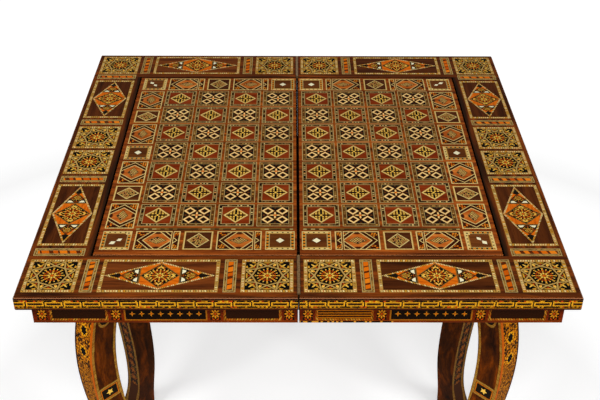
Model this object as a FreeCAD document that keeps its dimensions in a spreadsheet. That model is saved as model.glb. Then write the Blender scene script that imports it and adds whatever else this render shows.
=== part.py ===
# Folding and swivelling games table in inlaid walnut, shown opened out.
#
# Two shallow trays, left and right, are hinged along a seam that runs from front to back. Each tray has a
# backgammon well under a lift-out half of the board. The left tray turns on a pivot bolt in the platform of
# a four-legged stand, so that the folded top, a quarter turn on, sits square over the stand.
# Frame: origin on the floor under the middle of the opened top, +X right, +Y away, +Z up. Millimetres.
import FreeCAD, Part
import math
import os
import Sketcher
from FreeCAD import Placement, Rotation, Vector
from types import SimpleNamespace

doc = FreeCAD.newDocument("GamesTable")
sheet = doc.addObject("Spreadsheet::Sheet", "Sizes")

# Each row: name, value, what it is.
SIZES = [
    ("openWidth", 800, "opened top, left to right"),
    ("openDepth", 770, "opened top, front to back"),
    ("tableHeight", 780, "floor to playing surface"),
    ("seamClear", 0.1, "each tray's seam face to the seam"),
    ("wallSeamGap", 1, "tray walls behind that seam face's line"),
    ("railThick", 22, "frame rails of the top"),
    ("railWidthEnd", 97, "near and far rails"),
    ("railWidthSide", 93, "outer rails"),
    ("railRound", 2.5, "rounded outer arris of the rails"),
    ("boxInset", 18, "tray wall behind the rail's edge"),
    ("boxHeight", 39, "tray wall below the rails"),
    ("wallThick", 14, "tray walls"),
    ("wallRound", 1.5, "lower arris of the tray walls"),
    ("seamWallThick", 12, "tray wall along the seam"),
    ("floorThick", 9, "tray floor"),
    ("linerThick", 12, "well liner walls"),
    ("boardThick", 12, "lift-out half board"),
    ("boardGap", 2.5, "gap round the half board"),
    ("boardSeamGap", 1.5, "half board to the seam"),
    ("boardRound", 1.2, "rounded arris of the half board"),
    ("bearerWidth", 10, "ledges that carry the half board"),
    ("tileDepth", 1.6, "thickness of the inlaid tiles"),
    ("tileClear", 0.1, "glue line round an inlaid tile"),
    ("cellWood", 4.6, "walnut strip between the playing squares"),
    ("seamWood", 5.5, "middle of the first walnut strip from the seam"),
    ("boardNearMargin", 13.5, "plain margin at the board's near edge"),
    ("boardFarMargin", 4.6, "plain margin at the board's far edge"),
    ("boardSideMargin", 7.1, "plain margin at the board's outer edge"),
    ("dashZone", 11, "between the near border and the squares"),
    ("dashWidth", 5.6, "dashed strip in that zone"),
    ("borderWidth", 44, "outer border tiles, left to right"),
    ("borderDepth", 46.5, "near and far border tiles, front to back"),
    ("borderRatio", 1.53, "lozenge tile to plain tile, along the border"),
    ("borderGapX", 5.9, "walnut between near or far border tiles"),
    ("borderGapY", 7.2, "walnut between outer border tiles"),
    ("mosaicSize", 75, "square mosaics, along their rail"),
    ("barSize", 18, "narrow bars of the frame"),
    ("frameGap", 7, "walnut between tiles of the frame"),
    ("frameSeamMargin", 7.5, "plain margin along the seam"),
    ("frameSideMargin", 8, "plain margin at the outer edges"),
    ("frameSideInner", 10, "plain margin of the outer rails, next to the board"),
    ("frameNearMargin", 14, "plain margin at the near edge"),
    ("frameNearInner", 8, "plain margin of the near rails, next to the board"),
    ("frameFarMargin", 8, "plain margin at the far edge"),
    ("frameFarInner", 14, "plain margin of the far rails, next to the board"),
    ("sideNearGap", 9, "near corner mosaic to the next bar of the side"),
    ("sideFarGap", 4.5, "far corner mosaic to the next bar of the side"),
    ("sideShift", 12, "middle mosaics of the sides, behind the middle"),
    ("pointDepth", 1, "thickness of the inlaid points"),
    ("pointLength", 205, "length of a backgammon point"),
    ("pointGap", 6, "between the feet of two points"),
    ("hingeAxisRise", 0.4, "hinge axis above the playing surface"),
    ("knuckleRadius", 2.4, "hinge barrel"),
    ("knuckleClear", 0.3, "round the barrel and between knuckles"),
    ("hingePinRadius", 1.2, "hinge pin"),
    ("hingePinClear", 0.05, "running fit of the hinge pin"),
    ("leafThick", 1.4, "hinge leaf"),
    ("leafHeight", 17, "hinge leaf down the seam face"),
    ("hingeEndGap", 8, "hinge to the rail's outer edge"),
    ("knuckleFirst", 33, "knuckle next to the board"),
    ("knuckleMiddle", 39, "middle knuckle, on the right leaf"),
    ("hingeScrewRadius", 1.5, "hinge screw shank"),
    ("hingeScrewLength", 18, "hinge screw"),
    ("swivelGap", 2, "tray to platform"),
    ("slideClear", 0.3, "between sliding faces"),
    ("platformThick", 18, "platform of the stand"),
    ("platformLip", 28, "platform past the apron"),
    ("standInsetX", 35, "end aprons behind the edge of the closed top"),
    ("standInsetY", 58, "front and back aprons behind its edge"),
    ("apronHeight", 90, "aprons of the stand"),
    ("apronThick", 20, "aprons of the stand"),
    ("postInset", 8.5, "middle of a leg's post behind the apron faces"),
    ("legSide", 51, "leg section at post and knee"),
    ("ankleSide", 44, "leg section at the ankle"),
    ("neckHeight", 618, "end of the straight post"),
    ("thighHeight", 502, "swelling of the thigh above the floor"),
    ("thighOut", 19, "thigh past the post, along the diagonal"),
    ("kneeHeight", 445, "middle of the knee above the floor"),
    ("kneeOut", 24.5, "knee past the post"),
    ("shinHeight", 300, "crossing between knee and ankle"),
    ("shinOut", 11.5, "shin past the post"),
    ("ankleHeight", 170, "middle of the ankle above the floor"),
    ("ankleOut", -1, "ankle past the post"),
    ("footHeight", 60, "start of the foot"),
    ("footOut", 15, "foot past the post at its start"),
    ("toeOut", 29.5, "toe past the post at the floor"),
    ("glideRadius", 13, "glide under a foot"),
    ("glideThick", 3, "glide under a foot"),
    ("blockSide", 46, "corner block"),
    ("blockHeight", 70, "corner block"),
    ("boltRadius", 4, "leg bolt"),
    ("boltLength", 62, "leg bolt, under its head"),
    ("boltSpacing", 40, "two bolts of a leg"),
    ("boltHeadRadius", 6.5, "leg bolt head"),
    ("boltHeadThick", 5, "leg bolt head"),
    ("boltHoleClear", 0.3, "bolt holes"),
    ("pivotRadius", 5, "pivot bolt"),
    ("pivotClear", 0.05, "running fit of the pivot bolt in its bush"),
    ("bushWall", 3, "pivot bush"),
    ("bushFlange", 11, "flange radius of the pivot bush"),
    ("bushFlangeThick", 2, "flange of the pivot bush"),
    ("pivotHeadRadius", 12, "flat head of the pivot bolt"),
    ("pivotHeadThick", 4, "flat head of the pivot bolt"),
    ("washerThick", 2, "pivot washer"),
    ("nutSide", 16, "pivot nut across flats"),
    ("nutThick", 8, "pivot nut"),
    ("threadPast", 4, "pivot bolt past its nut"),
    ("stopRadius", 80, "stop peg to the pivot"),
    ("pegRadius", 4, "stop peg"),
    ("pegGrip", 5, "stop peg inside the tray floor"),
    ("slotDepth", 12, "arc slot in the platform"),
    ("slotClear", 0.5, "round the stop peg in its slot"),
    ("swivelTurn", 90, "degrees from open to closed"),
    ("padRadius", 12, "felt slide pads"),
    ("padInset", 30, "slide pads behind the apron faces"),
    ("screwRadius", 2.2, "platform screws"),
    ("screwHeadRadius", 4.4, "platform screw head"),
    ("screwLength", 42, "platform screws"),
]
CELL_COLUMNS = 4    # per half board
CELL_ROWS = 7
POINTS_PER_EDGE = 6


# ---- sizes that carry their own expression ------------------------------------------------------------


class Length:
    # A value together with the spreadsheet expression that gives it.
    def __init__(self, value, text):
        self.value = value
        self.text = text

    def __add__(self, other):
        other = asLength(other)
        return Length(self.value + other.value, f"({self.text} + {other.text})")

    def __sub__(self, other):
        other = asLength(other)
        return Length(self.value - other.value, f"({self.text} - {other.text})")

    def __mul__(self, other):
        other = asLength(other)
        return Length(self.value * other.value, f"({self.text} * {other.text})")

    def __truediv__(self, other):
        other = asLength(other)
        return Length(self.value / other.value, f"({self.text} / {other.text})")

    def __neg__(self):
        return Length(-self.value, f"(0 - {self.text})")

    def __radd__(self, other):
        return asLength(other) + self

    def __rsub__(self, other):
        return asLength(other) - self

    def __rmul__(self, other):
        return asLength(other) * self


def asLength(number):
    return number if isinstance(number, Length) else Length(float(number), f"{number:g}")


def fillSheet():
    lengths = {}
    for row, (name, value, note) in enumerate(SIZES, start=1):
        sheet.set(f"A{row}", name)
        sheet.set(f"B{row}", f"{value:g}")
        sheet.setAlias(f"B{row}", name)
        sheet.set(f"C{row}", note)
        lengths[name] = Length(float(value), f"Sizes.{name}")
    doc.recompute()
    return SimpleNamespace(**lengths)


s = fillSheet()

# Levels and outlines that several pieces share. "u" is the distance from the seam, for either tray.
halfWidth = s.openWidth / 2
halfDepth = s.openDepth / 2
railBottom = s.tableHeight - s.railThick
boxBottom = railBottom - s.boxHeight
floorTop = boxBottom + s.floorThick
boardBottom = s.tableHeight - s.boardThick
platformTop = boxBottom - s.swivelGap
platformBottom = platformTop - s.platformThick
apronBottom = platformBottom - s.apronHeight
openingU = halfWidth - s.railWidthSide
openingY = halfDepth - s.railWidthEnd
boxU = halfWidth - s.boxInset
boxY = halfDepth - s.boxInset
seamWallStart = s.wallSeamGap
seamWallEnd = seamWallStart + s.seamWallThick
innerU = boxU - s.wallThick
innerY = boxY - s.wallThick
boardU = openingU - s.boardGap
boardY = openingY - s.boardGap
hingeAxisZ = s.tableHeight + s.hingeAxisRise
# The closed top is half as wide; a quarter turn about the pivot brings it square over the stand.
pivotX = -(s.openWidth / 8)
pivotY = s.openWidth / 8
apronHalfX = halfDepth - s.standInsetX
apronHalfY = s.openWidth / 4 - s.standInsetY
postX = apronHalfX - s.postInset
postY = apronHalfY - s.postInset


# ---- helpers -------------------------------------------------------------------------------------------


def bind(obj, prop, length):
    obj.setExpression(prop, asLength(length).text)


def bindPlace(obj, x, y, z):
    bind(obj, "Placement.Base.x", x)
    bind(obj, "Placement.Base.y", y)
    bind(obj, "Placement.Base.z", z)


def lowX(side, start, end):
    # Lower x of a span that runs from start to end away from the seam.
    return start if side > 0 else -end


def sideName(side):
    return "right" if side > 0 else "left"


def originPlane(body, role):
    return next(item for item in body.Origin.OriginFeatures if item.Role == role)


def addSketch(body, name, plane="XY_Plane", level=None):
    sketch = body.newObject("Sketcher::SketchObject", name)
    sketch.AttachmentSupport = (originPlane(body, plane), [""])
    sketch.MapMode = "FlatFace"
    if level is not None:
        bind(sketch, "AttachmentOffset.Base.z", level)
    return sketch


def dimension(sketch, kind, first, firstEnd, second, secondEnd, length):
    length = asLength(length)
    index = sketch.addConstraint(Sketcher.Constraint(kind, first, firstEnd, second, secondEnd, length.value))
    bind(sketch, f"Constraints[{index}]", length)


def drawRectangle(sketch, x, y, width, height):
    # A rectangle whose corner nearest the sketch's origin is at x, y.
    x, y = asLength(x), asLength(y)
    corners = [
        Vector(x.value, y.value, 0),
        Vector(x.value + width.value, y.value, 0),
        Vector(x.value + width.value, y.value + height.value, 0),
        Vector(x.value, y.value + height.value, 0),
    ]
    first = sketch.GeometryCount
    for index in range(4):
        sketch.addGeometry(Part.LineSegment(corners[index], corners[(index + 1) % 4]), False)
    for index in range(4):
        following = first + (index + 1) % 4
        sketch.addConstraint(Sketcher.Constraint("Coincident", first + index, 2, following, 1))
    sketch.addConstraint(Sketcher.Constraint("Horizontal", first))
    sketch.addConstraint(Sketcher.Constraint("Horizontal", first + 2))
    sketch.addConstraint(Sketcher.Constraint("Vertical", first + 1))
    sketch.addConstraint(Sketcher.Constraint("Vertical", first + 3))
    if x.value == 0 and y.value == 0:
        sketch.addConstraint(Sketcher.Constraint("Coincident", first, 1, -1, 1))
    else:
        dimension(sketch, "DistanceX", -1, 1, first, 1, x)
        dimension(sketch, "DistanceY", -1, 1, first, 1, y)
    dimension(sketch, "DistanceX", first, 1, first, 2, width)
    dimension(sketch, "DistanceY", first + 1, 1, first + 1, 2, height)


def addPad(body, sketch, name, length):
    pad = body.newObject("PartDesign::Pad", name)
    pad.Profile = sketch
    bind(pad, "Length", length)
    return pad


def addFillet(body, base, name, radius, wanted):
    # Rounds those edges of the base feature that the test "wanted" picks by their middle.
    doc.recompute()
    names = []
    for index, edge in enumerate(base.Shape.Edges, start=1):
        box = edge.BoundBox
        if wanted(box.Center, box):
            names.append(f"Edge{index}")
    fillet = body.newObject("PartDesign::Fillet", name)
    fillet.Base = (base, names)
    bind(fillet, "Radius", radius)
    return fillet


def plank(label, x, y, z, length, width, thick):
    # A board with its low corner at x, y, z.
    x, y, z = asLength(x), asLength(y), asLength(z)
    body = doc.addObject("PartDesign::Body", label)
    sketch = addSketch(body, label + "_outline")
    drawRectangle(sketch, 0, 0, asLength(length), asLength(width))
    pad = addPad(body, sketch, label + "_board", thick)
    bindPlace(body, x, y, z)
    return body, pad


def close(first, second):
    return abs(first - second) < 1e-4


def addBox(label, x, y, z, length, width, height):
    box = doc.addObject("Part::Box", label)
    bind(box, "Length", length)
    bind(box, "Width", width)
    bind(box, "Height", height)
    bindPlace(box, x, y, z)
    return box


def addCylinder(label, radius, height, x, y, z, axis=Vector(0, 0, 1)):
    cylinder = doc.addObject("Part::Cylinder", label)
    bind(cylinder, "Radius", radius)
    bind(cylinder, "Height", height)
    cylinder.Placement = Placement(Vector(), Rotation(Vector(0, 0, 1), axis))
    bindPlace(cylinder, x, y, z)
    return cylinder


def addGroup(label, shapes):
    group = doc.addObject("Part::Compound", label)
    group.Links = shapes
    return group


def addFuse(label, shapes):
    fuse = doc.addObject("Part::MultiFuse", label)
    fuse.Shapes = shapes
    return fuse


def addCut(label, base, tool):
    cut = doc.addObject("Part::Cut", label)
    cut.Base = base
    cut.Tool = tool
    return cut


def addFeature(label, shape):
    feature = doc.addObject("Part::Feature", label)
    feature.Shape = shape
    return feature


parts = []    # the sub-parts, in the order they are written


def keep(obj, label):
    obj.Label = label
    parts.append(obj)
    return obj


# ---- inlay layout --------------------------------------------------------------------------------------


def fieldOutline():
    # Outline of the field of playing squares on the middle of the walnut strips: u start, u end, y start, y end.
    startU = s.seamWood
    endU = boardU - s.boardSideMargin - s.borderWidth - s.cellWood / 2
    startY = -boardY + s.boardNearMargin + s.borderDepth + s.dashZone
    endY = boardY - s.boardFarMargin - s.borderDepth - s.cellWood / 2
    return startU.value, endU.value, startY.value, endY.value


def boardCells():
    # Playing squares of a half board as (u start, u end, y start, y end, column, row), from seam and near edge.
    startU, endU, startY, endY = fieldOutline()
    pitchU = (endU - startU) / CELL_COLUMNS
    pitchY = (endY - startY) / CELL_ROWS
    half = s.cellWood.value / 2
    cells = []
    for column in range(CELL_COLUMNS):
        for row in range(CELL_ROWS):
            u, y = startU + pitchU * column, startY + pitchY * row
            cells.append((u + half, u + pitchU - half, y + half, y + pitchY - half, column, row))
    return cells


def spread(start, end, kinds, gap):
    # Shares a run among long and short tiles with even gaps, as (start, end) of each.
    ratio = s.borderRatio.value
    weights = [ratio if kind == "long" else 1 for kind in kinds]
    unit = (end - start - gap * (len(kinds) - 1)) / sum(weights)
    spans = []
    for weight in weights:
        spans.append((start, start + unit * weight))
        start += unit * weight + gap
    return spans


def borderTiles():
    # Border tiles of a half board: rows at the near and far edges, and a column at the outer edge between them.
    startU, endU, startY, endY = fieldOutline()
    columnU = endU + s.cellWood.value / 2
    outerU = columnU + s.borderWidth.value
    rowNear = (-boardY + s.boardNearMargin).value
    rowFar = endY + s.cellWood.value / 2
    depth, gapX, gapY = s.borderDepth.value, s.borderGapX.value, s.borderGapY.value
    tiles = [(columnU, outerU, rowNear, rowNear + depth), (columnU, outerU, rowFar, rowFar + depth)]
    for low, high in spread(startU, columnU - gapX, ("short", "long", "short", "long"), gapX):
        tiles.append((low, high, rowNear, rowNear + depth))
        tiles.append((low, high, rowFar, rowFar + depth))
    kinds = ("long", "short", "long", "short", "long", "short", "long")
    for low, high in spread(rowNear + depth + gapY, rowFar - gapY, kinds, gapY):
        tiles.append((columnU, outerU, low, high))
    return tiles


def dashTile():
    # The dashed strip along the near side of the playing squares.
    startU, endU, startY, endY = fieldOutline()
    half = s.cellWood.value / 2
    low = startY - (s.dashZone + s.dashWidth).value / 2
    return (startU + half, endU - half, low, low + s.dashWidth.value)


def frameTiles():
    # Tiles of the frame of one tray as {kind: [(u start, u end, y start, y end)]}.
    size, bar, gap = s.mosaicSize.value, s.barSize.value, s.frameGap.value
    inner = (openingU + s.frameSideInner).value
    outer = (halfWidth - s.frameSideMargin).value
    near = ((-halfDepth + s.frameNearMargin).value, (-openingY - s.frameNearInner).value)
    far = ((openingY + s.frameFarInner).value, (halfDepth - s.frameFarMargin).value)
    mosaics, bars, panels = [], [], []
    start = s.frameSeamMargin.value
    for low, high in (near, far):
        mosaics.append((inner, outer, low, high))
        mosaics.append((start, start + size, low, high))
        bars.append((start + size + gap, start + size + gap + bar, low, high))
        bars.append((inner - gap - bar, inner - gap, low, high))
        panels.append((start + size + 2 * gap + bar, inner - 2 * gap - bar, low, high))
    # The outer rail: two middle mosaics, then bar, panel and bar towards each corner.
    middle = s.sideShift.value + (near[1] + far[0]) / 2
    mosaics.append((inner, outer, middle - gap / 2 - size, middle - gap / 2))
    mosaics.append((inner, outer, middle + gap / 2, middle + gap / 2 + size))
    spans = ((near[1] + s.sideNearGap.value, middle - gap * 1.5 - size),
             (middle + gap * 1.5 + size, far[0] - s.sideFarGap.value))
    for start, end in spans:
        bars.append((inner, outer, start, start + bar))
        bars.append((inner, outer, end - bar, end))
        panels.append((inner, outer, start + bar + gap, end - bar - gap))
    return {"mosaics": mosaics, "bars": bars, "panels": panels}


def tileSolids(side, tiles, grow):
    # Tiles flush with the playing surface, each grown all round by the given glue line.
    solids = []
    depth = s.tileDepth.value
    for startU, endU, startY, endY, *place in tiles:
        low = lowX(side, startU, endU)
        corner = Vector(low - grow, startY - grow, s.tableHeight.value - depth - grow)
        solids.append(Part.makeBox(endU - startU + 2 * grow, endY - startY + 2 * grow, depth + 2 * grow, corner))
    return solids


# ---- trays ---------------------------------------------------------------------------------------------


def hingeSpans():
    # The near and far hinges as (y of the end next to the board, direction towards the outer edge).
    return ((-openingY, -1), (openingY, 1))


def hingeLength():
    return s.railWidthEnd - s.hingeEndGap


def hingeRecess(side):
    # What the rails lose to the hinges: a groove round the barrel and a mortise for the leaf.
    tools = []
    name = sideName(side)
    for number, (start, direction) in enumerate(hingeSpans()):
        low = start if direction > 0 else start - hingeLength()
        groove = addCylinder(f"{name}_groove_{number}", s.knuckleRadius + s.knuckleClear, hingeLength(),
                             0, low, hingeAxisZ, Vector(0, 1, 0))
        depth = s.leafThick + s.seamClear
        top = s.tableHeight - s.leafHeight
        mortise = addBox(f"{name}_mortise_{number}", lowX(side, asLength(0), depth), low, top,
                         depth, hingeLength(), s.leafHeight + 1)
        tools += [groove, mortise]
    return tools


def screwPlaces(side):
    # Hinge screws run from the seam into the rails: (start point, direction).
    places = []
    drop = (s.leafHeight / 2 + s.knuckleRadius / 2).value
    for start, direction in hingeSpans():
        for share in (0.2, 0.5, 0.8):
            y = start.value + direction * hingeLength().value * share
            places.append((Vector(side * s.seamClear.value, y, s.tableHeight.value - drop), Vector(side, 0, 0)))
    return places


def hingeScrewShape(place, direction, grow):
    head = Part.makeCone(s.hingeScrewRadius.value * 1.9 + grow, s.hingeScrewRadius.value + grow,
                         s.leafThick.value, place, direction)
    shank = Part.makeCylinder(s.hingeScrewRadius.value + grow, s.hingeScrewLength.value, place, direction)
    return head.fuse(shank)


def makeRails(side):
    name = sideName(side)
    tiles = frameTiles()
    every = tiles["mosaics"] + tiles["bars"] + tiles["panels"]
    pockets = tileSolids(side, every, s.tileClear.value)
    drills = [hingeScrewShape(place, direction, s.boltHoleClear.value / 3) for place, direction in screwPlaces(side)]
    recess = hingeRecess(side)
    length = halfWidth - s.seamClear
    for end, y in (("near", -halfDepth), ("far", openingY)):
        label = f"{name}_rail_{end}"
        body, pad = plank(label + "_body", lowX(side, s.seamClear, halfWidth), y, railBottom,
                          length, s.railWidthEnd, s.railThick)
        outerX = length.value if side > 0 else 0
        outerY = 0 if end == "near" else s.railWidthEnd.value

        def isOuter(middle, box):
            onEnd = close(box.XMin, outerX) and close(box.XMax, outerX)
            onFront = close(box.YMin, outerY) and close(box.YMax, outerY)
            return onEnd or onFront and box.XLength > 1

        addFillet(body, pad, label + "_round", s.railRound, isOuter)
        tool = addFeature(label + "_pockets", Part.makeCompound(pockets + drills))
        cut = addCut(label + "_pocketed", body, tool)
        keep(addCut(label, cut, addFuse(label + "_recess", recess)), label)
    label = f"{name}_rail_outer"
    body, pad = plank(label + "_body", lowX(side, openingU, halfWidth), -openingY, railBottom,
                      s.railWidthSide, openingY * 2, s.railThick)
    outerX = s.railWidthSide.value if side > 0 else 0

    def isEdge(middle, box):
        return close(box.XMin, outerX) and close(box.XMax, outerX) and box.YLength > 1

    addFillet(body, pad, label + "_round", s.railRound, isEdge)
    keep(addCut(label, body, addFeature(label + "_pockets", Part.makeCompound(pockets))), label)


def makeWalls(side):
    name = sideName(side)
    length = boxU - seamWallStart
    for end, y in (("near", -boxY), ("far", innerY)):
        label = f"{name}_wall_{end}"
        body, pad = plank(label, lowX(side, seamWallStart, boxU), y, boxBottom,
                          length, s.wallThick, s.boxHeight)
        outerY = 0 if end == "near" else s.wallThick.value

        def isFoot(middle, box):
            return close(box.ZMax, 0) and close(box.YMin, outerY) and close(box.YMax, outerY)

        addFillet(body, pad, label + "_round", s.wallRound, isFoot)
        keep(body, label)
    label = f"{name}_wall_outer"
    body, pad = plank(label, lowX(side, innerU, boxU), -innerY, boxBottom,
                      s.wallThick, innerY * 2, s.boxHeight)
    outerX = s.wallThick.value if side > 0 else 0

    def isOuterFoot(middle, box):
        return close(box.ZMax, 0) and close(box.XMin, outerX) and close(box.XMax, outerX)

    addFillet(body, pad, label + "_round", s.wallRound, isOuterFoot)
    keep(body, label)
    # The seam wall stands higher between the rails, where it carries the half board and closes the seam.
    label = f"{name}_wall_seam"
    setBack = seamWallStart - s.seamClear
    body = doc.addObject("PartDesign::Body", label)
    outline = addSketch(body, label + "_outline")
    drawRectangle(outline, setBack if side > 0 else 0, 0, s.seamWallThick, innerY * 2)
    addPad(body, outline, label + "_board", s.boxHeight)
    raised = addSketch(body, label + "_raised", level=s.boxHeight)
    drawRectangle(raised, 0, innerY - openingY, s.seamWallThick + setBack, openingY * 2)
    addPad(body, raised, label + "_ledge", boardBottom - railBottom)
    bindPlace(body, lowX(side, s.seamClear, seamWallEnd), -innerY, boxBottom)
    keep(body, label)


def pointSolids(side, grow):
    # Twelve long triangles let into the tray floor, six from the near edge and six from the far edge.
    solids = []
    start = seamWallEnd.value + s.pointGap.value
    pitch = (openingU.value - start) / POINTS_PER_EDGE
    edge = openingY.value - s.pointGap.value
    top = floorTop.value
    for end in (-1, 1):
        for index in range(POINTS_PER_EDGE):
            low = start + pitch * index
            high = low + pitch - s.pointGap.value
            base = [(low - grow, end * (edge + grow)), (high + grow, end * (edge + grow)),
                    ((low + high) / 2, end * (edge - s.pointLength.value - 2 * grow))]
            corners = [Vector(side * u, y, top - s.pointDepth.value) for u, y in base]
            face = Part.Face(Part.makePolygon(corners + corners[:1]))
            solids.append(face.extrude(Vector(0, 0, s.pointDepth.value + grow)))
    return solids


def makeFloor(side):
    name = sideName(side)
    label = f"{name}_tray_floor"
    body, pad = plank(label + "_body", lowX(side, seamWallEnd, innerU), -innerY, boxBottom,
                      innerU - seamWallEnd, innerY * 2, s.floorThick)
    pockets = addFeature(label + "_pockets", Part.makeCompound(pointSolids(side, s.tileClear.value)))
    points = addFeature(f"{name}_points_whole", Part.makeCompound(pointSolids(side, 0)))
    if side > 0:
        keep(addCut(label, body, pockets), label)
        keep(points, f"{name}_points")
        return
    # The left tray is bored for the pivot bolt, whose head lies flush in floor and points, and for the stop peg.
    head = addCylinder("pivot_head_recess", s.pivotHeadRadius + s.boltHoleClear, s.pivotHeadThick + 1,
                       pivotX, pivotY, floorTop - s.pivotHeadThick)
    hole = addCylinder("pivot_hole", s.pivotRadius + s.boltHoleClear / 2, s.floorThick, pivotX, pivotY, boxBottom)
    peg = addCylinder("peg_hole", s.pegRadius + s.boltHoleClear / 2, s.pegGrip,
                      pivotX - s.stopRadius, pivotY, boxBottom)
    keep(addCut(label, body, addFuse(label + "_recess", [pockets, head, hole, peg])), label)
    keep(addCut(f"{name}_points", points, head), f"{name}_points")


def makeLiner(side):
    # Walls of the well, flush with the opening of the rails, and the ledges that carry the half board.
    name = sideName(side)
    height = railBottom - floorTop
    length = openingU + s.linerThick - seamWallEnd
    liners = []
    for end, y in (("near", -openingY - s.linerThick), ("far", openingY)):
        liners.append(addBox(f"{name}_liner_{end}", lowX(side, seamWallEnd, openingU + s.linerThick), y, floorTop,
                             length, s.linerThick, height))
    liners.append(addBox(f"{name}_liner_outer", lowX(side, openingU, openingU + s.linerThick), -openingY, floorTop,
                         s.linerThick, openingY * 2, height))
    keep(addGroup(f"{name}_well_liner", liners), f"{name}_well_liner")
    ledge = boardBottom - railBottom
    bearers = []
    for end, y in (("near", -openingY), ("far", openingY - s.bearerWidth)):
        bearers.append(addBox(f"{name}_bearer_{end}", lowX(side, seamWallEnd, openingU), y, railBottom,
                              openingU - seamWallEnd, s.bearerWidth, ledge))
    bearers.append(addBox(f"{name}_bearer_outer", lowX(side, openingU - s.bearerWidth, openingU),
                          -openingY + s.bearerWidth, railBottom,
                          s.bearerWidth, (openingY - s.bearerWidth) * 2, ledge))
    keep(addGroup(f"{name}_board_bearers", bearers), f"{name}_board_bearers")


def makeBoard(side):
    name = sideName(side)
    label = f"{name}_board_half"
    body, pad = plank(label + "_body", lowX(side, s.boardSeamGap, boardU), -boardY, boardBottom,
                      boardU - s.boardSeamGap, boardY * 2, s.boardThick)

    def isTop(middle, box):
        return close(box.ZMin, s.boardThick.value) and close(box.ZMax, s.boardThick.value)

    addFillet(body, pad, label + "_round", s.boardRound, isTop)
    cells = boardCells()
    # The near square next to the seam on the left is dark, and the colours alternate across the seam.
    offset = 0 if side < 0 else 1
    dark = [cell for cell in cells if (cell[4] + cell[5] + offset) % 2 == 0]
    red = [cell for cell in cells if (cell[4] + cell[5] + offset) % 2 == 1]
    border = borderTiles() + [dashTile()]
    pockets = tileSolids(side, cells + border, s.tileClear.value)
    keep(addCut(label, body, addFeature(label + "_pockets", Part.makeCompound(pockets))), label)
    for kind, tiles in (("dark_squares", dark), ("red_squares", red), ("border_tiles", border)):
        keep(addFeature(f"{name}_{kind}", Part.makeCompound(tileSolids(side, tiles, 0))), f"{name}_{kind}")


def makeFrameInlay(side):
    name = sideName(side)
    tiles = frameTiles()
    for kind, places in (("frame_mosaics", tiles["mosaics"]), ("frame_bars", tiles["bars"]),
                         ("frame_panels", tiles["panels"])):
        keep(addFeature(f"{name}_{kind}", Part.makeCompound(tileSolids(side, places, 0))), f"{name}_{kind}")


# ---- hinges --------------------------------------------------------------------------------------------


def knuckles():
    # Knuckles of a hinge as (distance from the board end, length, side whose leaf carries it).
    last = hingeLength() - s.knuckleFirst - s.knuckleMiddle
    return ((asLength(0), s.knuckleFirst, -1), (s.knuckleFirst, s.knuckleMiddle, 1),
            (s.knuckleFirst + s.knuckleMiddle, last, -1))


def hingeLeaf(side, number, start, direction):
    name = f"{sideName(side)}_leaf_{number}"
    top = hingeAxisZ - s.knuckleRadius - s.knuckleClear
    bottom = s.tableHeight - s.leafHeight
    plateLow = start if direction > 0 else start - hingeLength()
    leafX = lowX(side, s.seamClear, s.seamClear + s.leafThick)
    pieces = [addBox(name + "_plate", leafX, plateLow, bottom, s.leafThick, hingeLength(), top - bottom)]
    bore = []
    for index, (offset, length, owner) in enumerate(knuckles()):
        if owner != side:
            continue
        clear = s.knuckleClear
        span = length - clear
        low = start + offset + clear / 2 if direction > 0 else start - offset - length + clear / 2
        pieces.append(addBox(f"{name}_tab_{index}", leafX, low, top, s.leafThick, span, s.knuckleRadius))
        pieces.append(addCylinder(f"{name}_tube_{index}", s.knuckleRadius, span, 0, low, hingeAxisZ, Vector(0, 1, 0)))
        fit = asLength(0) if side < 0 else s.hingePinClear
        bore.append(addCylinder(f"{name}_bore_{index}", s.hingePinRadius + fit, span + 2, 0, low - 1, hingeAxisZ,
                                Vector(0, 1, 0)))
    tool = addFuse(name + "_bores", bore) if len(bore) > 1 else bore[0]
    return addCut(name, addFuse(name + "_blank", pieces), tool)


def makeHinges(side):
    name = sideName(side)
    leaves = [hingeLeaf(side, number, start, direction) for number, (start, direction) in enumerate(hingeSpans())]
    group = addGroup(f"{name}_leaves", leaves)
    screws = Part.makeCompound([hingeScrewShape(place, direction, 0) for place, direction in screwPlaces(side)])
    drill = addFeature(f"{name}_leaf_drills", screws)
    keep(addCut(f"{name}_hinge_leaves", group, drill), f"{name}_hinge_leaves")
    keep(addFeature(f"{name}_hinge_screws", screws), f"{name}_hinge_screws")


def makeHingePins():
    pins = []
    for number, (start, direction) in enumerate(hingeSpans()):
        low = start if direction > 0 else start - hingeLength()
        pins.append(addCylinder(f"hinge_pin_{number}", s.hingePinRadius, hingeLength() - s.knuckleClear, 0,
                                low + s.knuckleClear / 2, hingeAxisZ, Vector(0, 1, 0)))
    keep(addGroup("hinge_pins", pins), "hinge_pins")


# ---- swivel --------------------------------------------------------------------------------------------


def addTurning(label, outline, place):
    # A turned piece: the outline of (radius, height) pairs goes once round the vertical through place.
    points = [Vector(radius, 0, height) for radius, height in outline]
    face = Part.Face(Part.makePolygon(points + points[:1]))
    solid = face.revolve(Vector(), Vector(0, 0, 1), 360)
    feature = addFeature(label, solid)
    feature.Placement = Placement(place, Rotation())
    return feature


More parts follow.
